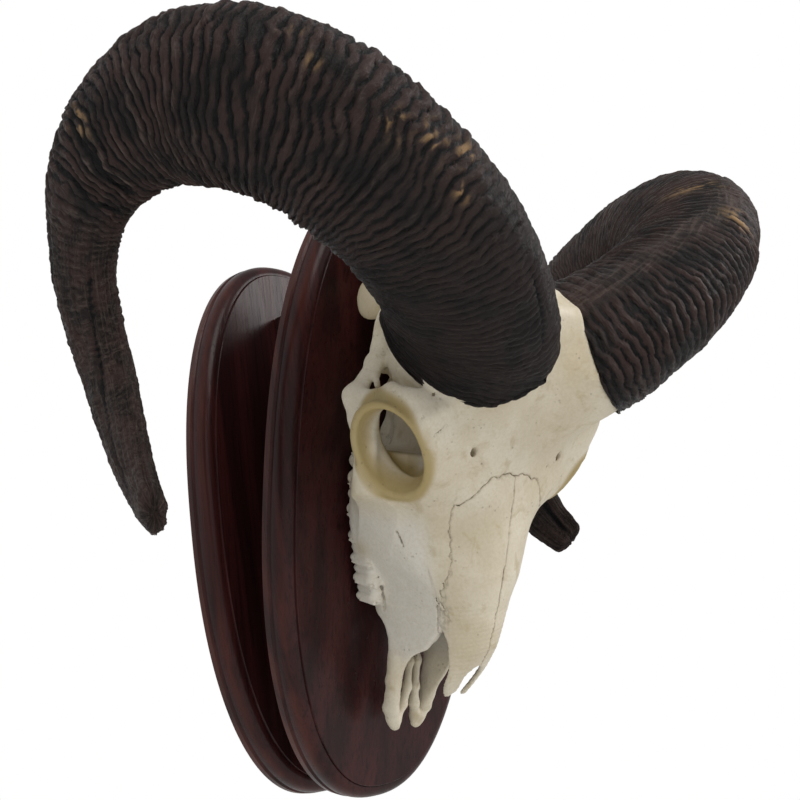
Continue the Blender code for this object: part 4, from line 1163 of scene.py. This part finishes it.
RIGHT_LOOK = {
    "seed": 43.0,
    "grow": ((0, 0.9), (0.12, 0.3), (1, 0.3)),
    "rib_spacing": ((0, 2.5), (0.1, 2.9), (0.2, 3.8), (0.35, 4.4), (0.5, 4.6), (1, 5.0)),
    "waviness": 0.8,
    "rib_face": 1.4,
    "rib_face_width": 2.6,
    "rib_least": 0.75,
    "rib_strength": ((0, 0.62), (0.1, 0.66), (0.2, 0.9), (0.45, 1.0), (0.55, 0.8), (0.62, 0.45), (0.8, 0.25),
                     (1, 0.1)),
    "lumps": ((0, 1.5), (0.2, 1.5), (0.3, 0.9), (0.5, 0.8), (0.7, 1.0), (0.8, 1.5), (1, 0.8)),
    "wear": ((0, 0.12), (0.1, 0.2), (0.2, 0.5), (0.4, 1.1), (0.5, 1.7), (0.6, 1.1), (1, 1.1)),
    "streaks_from": (0.56, 0.66),
    "keel": None,
    "creases": (((0.505, 0.7), (0.518, 2.8), 1.6, 0.0), ((0.553, 0.8), (0.56, 2.8), 1.4, 0.0),
                ((0.60, 0.9), (0.97, 0.3), 1.1, 0.11), ((0.66, 2.3), (0.95, 1.6), 1.0, 0.1),
                ((0.04, 0.17), (0.10, 0.12), 1.4, 0.03)),
    "scuffs": ((0.224, 0.56, 0.008, 0.16), (0.202, 0.35, 0.009, 0.2), (0.183, 0.1, 0.007, 0.16),
               (0.171, 0.52, 0.006, 0.08), (0.297, 0.31, 0.005, 0.14), (0.279, 0.59, 0.004, 0.08),
               (0.499, 1.08, 0.012, 0.25)),
}


# ---------------------------------------------------------------- boards and supports

def moulding(thick):
    """Board edge from back to face, as inset and height: side, groove, wide round band, bead and flat."""
    points = [(0.5, 0.0), (0.0, 0.5), (0.0, 4.3)]
    points += [(1.3 * math.sin(a), 4.6 + 1.2 * (1 - math.cos(a))) for a in np.linspace(0.25, math.pi / 2, 4)]
    points += [(1.35, 6.3), (0.9, 6.7)]
    for a in np.linspace(0, math.pi / 2, 16):
        points.append((0.4 + 6.6 * (1 - math.cos(a)) ** 1.25, 7.2 + 9.0 * math.sin(a)))
    points += [(7.1, 16.0), (7.25, 15.9), (7.4, 16.1), (7.5, thick - 0.3), (7.8, thick)]
    return points


def board_mesh(name, half_width, half_height, thick, place):
    """A moulded board, its outline between an ellipse and a box, with a flat closed back and face."""
    profile = moulding(thick)
    profile += [(profile[-1][0] + inset, thick) for inset in FACE_INSETS]
    turn = 2 * np.pi * np.arange(BOARD_SEGMENTS) / BOARD_SEGMENTS
    x, z = (np.sign(way) * abs(way) ** (2 / BOARD_EXPONENT) for way in (np.cos(turn), np.sin(turn)))
    rings = [place(BACK_RING * half_width * x, 0 * x, BACK_RING * half_height * z)]
    rubbed = [0.0]
    for inset, height in profile:
        rings.append(place((half_width - inset) * x, height + 0 * x, (half_height - inset) * z))
        on_side = math.exp(-((height - 2.2) / 2.2) ** 2)
        on_band = math.exp(-((height - 12) / 2.5) ** 2)
        rubbed.append(min(on_side + 0.35 * on_band, 1))
    obj = tube(name, rings, [rings[0].mean(axis=0), rings[-1].mean(axis=0)])
    point_attribute(obj, "rubbed", np.concatenate([np.repeat(rubbed, BOARD_SEGMENTS), [0, 0]]))
    return sharpened(obj)


def on_wall(x, height, z):
    return np.stack([x, -height, z], -1)


def on_front_board(x, height, z):
    tilt = math.radians(FRONT_TILT)
    y0, z0 = FRONT_BACK_CENTRE
    return np.stack([x, y0 - height * math.cos(tilt) - z * math.sin(tilt),
                     z0 - height * math.sin(tilt) + z * math.cos(tilt)], -1)


def bevelled(obj, width):
    """Rounds an object's edges with three segments, as its finished mesh."""
    bevel = obj.modifiers.new("round", "BEVEL")
    bevel.width = width * METRE
    bevel.segments = 3
    bevel.limit_method = "ANGLE"
    bevel.angle_limit = math.radians(SHARP_ANGLE)
    return sharpened(applied(obj))


def wedge_mesh(name):
    """The wedge block between the boards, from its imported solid's corners."""
    low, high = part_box("plaque_spacer")
    tilt = math.radians(FRONT_TILT)
    low, high = np.array(low) / METRE, np.array(high) / METRE
    corners = []
    for x in (low[0], high[0]):
        for z in (low[2], high[2]):
            along = (z - FRONT_BACK_CENTRE[1]) / math.cos(tilt)
            far = FRONT_BACK_CENTRE[0] + JOINT_GAP - along * math.sin(tilt)
            corners += [(x, high[1], z), (x, far, z)]
    faces = np.array([(0, 1, 3, 2), (4, 6, 7, 5), (0, 4, 5, 1), (2, 3, 7, 6), (0, 2, 6, 4), (1, 5, 7, 3)])
    return bevelled(mesh_object(name, corners, [faces]), WEDGE_BEVEL)


def peg_mesh(name):
    """The round peg that carries the skull off the front board, with chamfered ends."""
    tilt = math.radians(FRONT_TILT)
    out = np.array((0, -math.cos(tilt), -math.sin(tilt)))
    seat = skull_to_world((0, PEG_PLACE, 0))
    face_point = np.array((0, *FRONT_BACK_CENTRE)) + out * BOARD_THICK
    foot = seat - out * ((seat - face_point) @ out - JOINT_GAP)
    length = (skull_to_world((0, PEG_PLACE, PEG_TOP)) - foot) @ out
    across = np.array((1.0, 0, 0))
    turn = 2 * np.pi * np.arange(PEG_SIDES) / PEG_SIDES
    circle = np.outer(np.cos(turn), across) + np.outer(np.sin(turn), np.cross(out, across))
    end = ((PEG_RADIUS - 5 * PEG_CHAMFER, 0), (PEG_RADIUS - PEG_CHAMFER, 0), (PEG_RADIUS, PEG_CHAMFER))
    profile = (*end, (PEG_RADIUS, length / 2), *((r, length - h) for r, h in reversed(end)))
    rings = [foot + out * h + r * circle for r, h in profile]
    return sharpened(tube(name, rings, [foot, foot + out * length]))


# ---------------------------------------------------------------- bones

# Fine cracks and the dark line below the near eye, which is painted shadow under the eye's rim, in the skull's
# axes.
CRACK_AND_SHADOW_LINES = (
    ((-55.9, -22.9, -1.6), (-53.2, -26, -0.2), (-51.4, -28.2, 0.8)),
    ((-63.4, -30.2, -4), (-62, -34.2, -0.5)),
    ((-39, 25.4, -36.1), (-36.8, 29.2, -35), (-35.6, 32.2, -34)),
    ((-60.9, 2.6, -34.7), (-55.5, 8.5, -41.5), (-49, 13.5, -48.5)),
)
JAW_STAIN = (-34, 39, -65.2)


def near_line(points, line):
    """Distance from a line through these points."""
    reach = np.inf
    for start, end in zip(line, line[1:]):
        start = np.array(start, float)
        way = np.array(end, float) - start
        t = np.clip((points - start) @ way / (way @ way), 0, 1)[:, None]
        reach = np.minimum(reach, np.linalg.norm(points - start - t * way, axis=1))
    return reach


def bone_relief(points, crack_and_shadow_reach):
    """Height in millimetres of the fine surface over the worked-out one."""
    x, f, u = points.T
    rough = 0.26 * noise(points, 13, 1) + 0.12 * noise(points, 5, 2) + 0.06 * noise(points, 1.9, 3)
    wrinkled = ramp(f, 50, 62) * ramp(np.abs(x), 22, 16) * ramp(u, -26, -20)
    rough = rough + 0.10 * wrinkled * np.sin(2.6 * f + 0.9 * noise(points, 7, 4) + 0.8 * x)
    return rough - 0.35 * ramp(crack_and_shadow_reach, 0.9, 0.3)


def bone_tones(points, crack_and_shadow_reach):
    """How warm, how pale and how dirty the bone is at each point, from 0 to 1. The warmth is partly painted
    shade, the paleness partly painted light, and the dirt partly a painted shadow line.
    """
    x, f, u = points.T
    s = np.abs(x)
    forward, rise, height = orbit_coordinates(s, f, u)
    radius = np.hypot(forward, rise)
    # Yellower and darker in the eye funnels, on their shelves and under the cheekbone arch: partly the bone's
    # own yellowing, partly painted shade.
    funnel = ramp(radius, 1.16, 1.02) * ramp(height, -30, -8) * ramp(height, 7, 1) * ramp(radius, 0.55, 0.8)
    shelf = ramp(radius, 1.05, 0.9) * ramp(height, -32, -24) * ramp(height, -8, -14) * ramp(rise, 0.1, -0.2)
    # The socket's inner wall is made paler: painted light.
    inner = ramp(radius, 1.0, 0.85) * ramp(height, -3, -10)
    arch = ramp(s, 50, 40) * ramp(f, -30, -50) * ramp(u, -20, -40)
    stain = np.exp(-np.linalg.norm(points - JAW_STAIN, axis=1) ** 2 / 30)
    # Painted shade on the forehead below the far horn, put into the warm mask.
    far_brow_shade = np.exp(-((x - 46) / 12) ** 2 - ((f + 34) / 22) ** 2) * (u > -12)
    # Painted shade on the near side of the nasal bones.
    near_nasal_shade = ramp(f, 0, 25) * ramp(u, -22, -12) * ramp(x, 8, -8)
    # The warm mask holds real yellowing, a stain and random tone, and also painted shade.
    warm_and_shade = (funnel + 0.5 * shelf + 0.7 * arch + 0.5 * stain + 0.22 * far_brow_shade + 0.2 * near_nasal_shade
            + 0.12 * noise(points, 18, 6))
    warm_and_shade = np.clip(warm_and_shade, 0, 1)
    cheek_side = ramp(f, 8, 26) * ramp(u, -16, -26) * (1 - ramp(f, 84, 96))
    # Paler on the side of the face, and painted light on the sockets' inner walls.
    pale = np.clip(0.8 * cheek_side + 0.7 * inner * (1 - shelf) - warm_and_shade, 0, 1)

    across_brow = abs(ahead_of_eyes(s, f, u)) + 5 * (s > OPEN_SEAM_REACH)
    beside_nasals = abs(under_nasals(s, f, u)) + 3 * (f < -6)
    between_nasals = s + 4 * (f < -7)
    seams = np.minimum.reduce([across_brow, beside_nasals, between_nasals]) + 3 * (f > 84)
    # The last value is dirt in the seams and cracks, and painted shadow along the line below the near eye.
    return warm_and_shade, pale, np.maximum(0.3 * ramp(seams, 0.8, 0.2), 0.9 * ramp(crack_and_shadow_reach, 0.8, 0.25))


def bone_piece(name, share, low, high, voxel, side=1):
    """One bone, with its fine surface, its warm hollows, its dirty seams and its painted shade and light."""
    points, faces = surface(lambda x, f, u: share(x, f, u, side), low, high, voxel)
    points = points * (side, 1, 1)
    world = skull_to_world(points)
    obj = mesh_object(name, world, faces)
    # Distance from the fine cracks and from the painted shadow line below the near eye.
    crack_and_shadow_reach = np.minimum.reduce([near_line(points, line) for line in CRACK_AND_SHADOW_LINES])
    move = vertex_normals(obj) * (bone_relief(points, crack_and_shadow_reach) * METRE)[:, None]
    obj.data.vertices.foreach_set("co", (world * METRE + move).astype(np.float32).ravel())
    obj.data.update()
    for key, values in zip(("warm_and_shade", "pale", "dirt_and_shade"), bone_tones(points, crack_and_shadow_reach)):
        point_attribute(obj, key, values)
    return obj


# ---------------------------------------------------------------- settings, one group for each part

def size_setting(name, description, default):
    return FloatProperty(name=name, description=description, default=default, unit="LENGTH")


def power_setting(name, description, default):
    return FloatProperty(name=name, description=description, default=default, unit="POWER")


def colour_setting(name, description, default):
    return FloatVectorProperty(name=name, description=description, default=default, subtype="COLOR")


class RamBoardSettings(bpy.types.PropertyGroup):
    """Sizes and colours of the wooden boards."""

    rear_half_width: size_setting("Rear half width", "Half the rear board's width",
                                  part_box("plaque_rear")[1][0])
    rear_half_height: size_setting("Rear half height", "Half the rear board's height",
                                   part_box("plaque_rear")[1][2])
    front_half_width: size_setting("Front half width", "Half the front board's width",
                                   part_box("plaque_front")[1][0])
    front_half_height: size_setting("Front half height", "Half the front board's height", 0.16125)
    thickness: size_setting("Thickness", "Thickness of each board", BOARD_THICK * METRE)
    dark: colour_setting("Dark", "Dark wood", (0.020, 0.0056, 0.0058))
    red: colour_setting("Red", "Reddish wood", (0.048, 0.0120, 0.0114))
    black: colour_setting("Pores", "Pores and streaks", (0.005, 0.002, 0.002))
    rubbed: colour_setting("Rubbed", "Rubbed edges", (0.115, 0.030, 0.018))


class RamHornSettings(bpy.types.PropertyGroup):
    """Ribs and colours of the horn sheaths."""

    rib_depth: size_setting("Rib depth", "Depth of the grooves between ribs", 0.0022)
    lump_depth: size_setting("Lump depth", "Height of the broad lumps", 0.0015)
    streak_depth: size_setting("Streak depth", "Depth of the long streaks near the tip", 0.0008)
    rib_count: FloatProperty(name="Rib count", description="Share of the usual number of ribs", default=1.0)
    seed: IntProperty(name="Seed", description="Changes the pattern of ribs", default=0)
    # The groove colour is painted shade in the grooves and creases.
    groove: colour_setting("Groove", "In the grooves", (0.0040, 0.0034, 0.0034))
    dark: colour_setting("Dark", "Darkest horn", (0.0095, 0.0076, 0.0072))
    brown: colour_setting("Brown", "Brown horn", (0.036, 0.0205, 0.0180))
    rib: colour_setting("Rib", "Worn rib tops", (0.098, 0.070, 0.058))
    ochre: colour_setting("Ochre", "Rubbed patches", (0.30, 0.185, 0.085))


class RamBoneSettings(bpy.types.PropertyGroup):
    """Fineness and colours of the bones."""

    fineness: size_setting("Fineness", "Grid step of the thin bones", 0.00065)
    pale: colour_setting("Pale", "Pale bone", (0.70, 0.64, 0.52))
    ivory: colour_setting("Ivory", "Ivory bone", (0.62, 0.55, 0.42))
    # The warm colour is yellowed bone, and also painted shade in the hollows, on the forehead by the far horn
    # and beside the near nasal.
    warm_and_shade: colour_setting("Warm", "Yellowed hollows", (0.38, 0.29, 0.125))
    # The white also paints light on the eye sockets' inner walls.
    white: colour_setting("White", "Whitest bone", (0.72, 0.69, 0.62))
    # This colour darkens the fine pits, is the dirt in the seams and cracks, and paints the shadow line below
    # the near eye.
    dirt_and_shade: colour_setting("Dirt", "Dirt in seams and pits", (0.10, 0.075, 0.045))


class RamStageSettings(bpy.types.PropertyGroup):
    """Floor, lights and camera."""

    floor_height: size_setting("Floor height", "Floor below the mount's origin", -0.45)
    floor_reach: size_setting("Floor reach", "Half the floor's width", 1.6)
    key_power: power_setting("Key light", "Power of the main light", 11.0)
    side_power: power_setting("Side light", "Power of the light on the boards", 7.0)
    sky: FloatProperty(name="Surround", description="Brightness of the surround", default=0.55)


# ---------------------------------------------------------------- operators

class RAM_OT_boards(bpy.types.Operator):
    """Makes both moulded boards of the plaque"""

    bl_idname = "ram_mount.boards"
    bl_label = "Boards"

    def execute(self, context):
        settings = context.scene.ram_boards
        wood = wood_material(settings)
        thick = settings.thickness / METRE
        for word, wide, tall, place in (
            ("rear", settings.rear_half_width, settings.rear_half_height, on_wall),
            ("front", settings.front_half_width, settings.front_half_height, on_front_board),
        ):
            board = board_mesh(word + "_board", wide / METRE, tall / METRE, thick, place)
            finish(board, wood, ["plaque_" + word])
        finish(wedge_mesh("wedge_block"), wood, ["plaque_spacer"])
        finish(peg_mesh("carrying_peg"), wood, ["skull_peg"])
        return {"FINISHED"}


class RAM_OT_horns(bpy.types.Operator):
    """Makes both ribbed horn sheaths"""

    bl_idname = "ram_mount.horns"
    bl_label = "Horns"

    def execute(self, context):
        settings = context.scene.ram_horns
        sheath = horn_material(settings)
        tree = rib_tree()
        for word, shape, mirror, look in (("left", HORN_LEFT, False, LEFT_LOOK),
                                          ("right", HORN_RIGHT, True, RIGHT_LOOK)):
            obj = horn_sheath("horn_sheath_" + word, shape, mirror, look)
            with_tree(obj, tree, {
                "Rib Count": settings.rib_count,
                "Rib Depth": settings.rib_depth / METRE,
                "Lump Depth": settings.lump_depth / METRE,
                "Streak Depth": settings.streak_depth / METRE,
                "Waviness": look["waviness"],
                "Seed": look["seed"] + settings.seed,
                "Finish": sheath,
            })
            finish(obj, sheath, ["horn_" + word])
        return {"FINISHED"}


class RAM_OT_cranium(bpy.types.Operator):
    """Makes the forehead with its eye sockets, and the braincase behind it"""

    bl_idname = "ram_mount.cranium"
    bl_label = "Cranium"

    def execute(self, context):
        bone = bone_of(context)
        voxel = CRANIUM_VOXEL
        for name, share, low, high in (
            ("frontal_bones", frontal_share, (-77, -106, -80), (77, 17, 42)),
            ("braincase_bones", braincase_share, (-68, -142, -98), (68, -40, 42)),
        ):
            finish(bone_piece(name, share, low, high, voxel), bone, ["cranium"])
        return {"FINISHED"}


class RAM_OT_face(bpy.types.Operator):
    """Makes the paired face bones: nasals, upper jaws with their teeth, premaxillae and cheekbones"""

    bl_idname = "ram_mount.face"
    bl_label = "Face bones"

    def execute(self, context):
        bone = bone_of(context)
        voxel = context.scene.ram_bones.fineness / METRE
        for word, share, low, high in (
            ("nasal", nasal_share, (-2, -12, -36), (36, 114, 4)),
            ("maxilla", maxilla_share, (-1, -20, -88), (64, 82, 0)),
            ("premaxilla", premaxilla_share, (-1, 66, -74), (26, 134, -22)),
            ("cheekbone", cheekbone_share, (35, -52, -80), (78, 13, -22)),
        ):
            for name, side in (("left", 1), ("right", -1)):
                obj = bone_piece(f"{word}_bone_{name}", share, low, high, voxel, side)
                finish(obj, bone, [f"{word}_{name}"])
        return {"FINISHED"}


def bone_of(context):
    return bpy.data.materials.get("ram_bone") or bone_material(context.scene.ram_bones)


def soft_light(name, place, size, power, light_colour):
    light = bpy.data.lights.new(name, "AREA")
    light.shape = "RECTANGLE"
    light.size, light.size_y = size
    light.energy = power
    light.color = light_colour
    obj = bpy.data.objects.new(name, light)
    bpy.context.scene.collection.objects.link(obj)
    obj.location = place
    obj.rotation_euler = (Vector(LIGHT_TARGET) - Vector(place)).to_track_quat("-Z", "Y").to_euler()
    return obj


class RAM_OT_stage(bpy.types.Operator):
    """Adds the pale floor, soft studio lights and the camera"""

    bl_idname = "ram_mount.stage"
    bl_label = "Stage"

    def execute(self, context):
        settings = context.scene.ram_stage
        material, w, shader = new_material("ram_floor")
        place = w.add("ShaderNodeTexCoord", output="Object")
        speck = w.noise(place, 6, 3)
        tone = w.mix(w.smooth(speck, 0.3, 0.7), (0.86, 0.86, 0.85), (0.90, 0.90, 0.89))
        material.node_tree.links.new(tone, shader.inputs["Base Color"])
        shader.inputs["Roughness"].default_value = 0.9
        side = settings.floor_reach
        z = settings.floor_height
        mesh = bpy.data.meshes.new("floor")
        corners = [(-side, -side, z), (side, -side, z), (side, side, z), (-side, side, z)]
        mesh.from_pydata(corners, [], [(0, 1, 2, 3)])
        mesh.materials.append(material)
        floor = bpy.data.objects.new("floor", mesh)
        context.scene.collection.objects.link(floor)

        soft_light("key_light", (-0.75, -1.25, 1.05), (1.1, 0.9), settings.key_power, (1, 0.985, 0.955))
        soft_light("side_light", (0.85, -1.05, 0.62), (0.7, 0.45), settings.side_power, (1, 0.98, 0.97))

        world = bpy.data.worlds.new("surround")
        world.use_nodes = True
        wire = Wiring(world.node_tree)
        background = world.node_tree.nodes["Background"]
        seen = wire.add("ShaderNodeLightPath", output="Is Camera Ray")
        glow = wire.mix(seen, (settings.sky,) * 3, (1.0, 1.0, 1.0))
        world.node_tree.links.new(glow, background.inputs["Color"])
        context.scene.world = world
        context.scene.view_settings.view_transform = "Standard"

        level = Vector((math.cos(CAMERA_YAW), -math.sin(CAMERA_YAW), 0))
        ahead = Vector((math.sin(CAMERA_YAW), math.cos(CAMERA_YAW), 0))
        d = math.cos(CAMERA_PITCH) * ahead + Vector((0, 0, math.sin(CAMERA_PITCH)))
        upright = level.cross(d)
        c, s = math.cos(CAMERA_ROLL), math.sin(CAMERA_ROLL)
        right = c * level + s * upright
        up = c * upright - s * level
        camera = bpy.data.cameras.new("camera")
        camera.lens = CAMERA_LENS
        camera.sensor_width = CAMERA_SENSOR
        eye = bpy.data.objects.new("camera", camera)
        context.scene.collection.objects.link(eye)
        p = Vector(CAMERA_PLACE) * METRE
        eye.matrix_world = Matrix(((right.x, up.x, -d.x, p.x), (right.y, up.y, -d.y, p.y),
                                   (right.z, up.z, -d.z, p.z), (0, 0, 0, 1)))
        context.scene.camera = eye
        return {"FINISHED"}


class RAM_PT_mount(bpy.types.Panel):
    """Lists the parts of the mount in the 3D view's sidebar"""

    bl_idname = "RAM_PT_mount"
    bl_label = "Ram skull mount"
    bl_space_type = "VIEW_3D"
    bl_region_type = "UI"
    bl_category = "Ram Mount"

    def draw(self, context):
        for group, operators in (("ram_boards", ("boards",)), ("ram_horns", ("horns",)),
                                 ("ram_bones", ("cranium", "face")), ("ram_stage", ("stage",))):
            box = self.layout.box()
            settings = getattr(context.scene, group)
            for key in settings.__annotations__:
                box.prop(settings, key)
            for name in operators:
                box.operator("ram_mount." + name)


GROUPS = {"ram_boards": RamBoardSettings, "ram_horns": RamHornSettings, "ram_bones": RamBoneSettings,
          "ram_stage": RamStageSettings}
CLASSES = (*GROUPS.values(), RAM_OT_boards, RAM_OT_horns, RAM_OT_cranium, RAM_OT_face, RAM_OT_stage,
           RAM_PT_mount)


def register():
    for item in CLASSES:
        bpy.utils.register_class(item)
    for name, group in GROUPS.items():
        setattr(bpy.types.Scene, name, PointerProperty(type=group))


def unregister():
    for name in GROUPS:
        delattr(bpy.types.Scene, name)
    for item in reversed(CLASSES):
        bpy.utils.unregister_class(item)


def main():
    register()
    bpy.ops.ram_mount.boards()
    bpy.ops.ram_mount.horns()
    bpy.ops.ram_mount.cranium()
    bpy.ops.ram_mount.face()
    bpy.ops.ram_mount.stage()


if __name__ == "__main__":
    main()
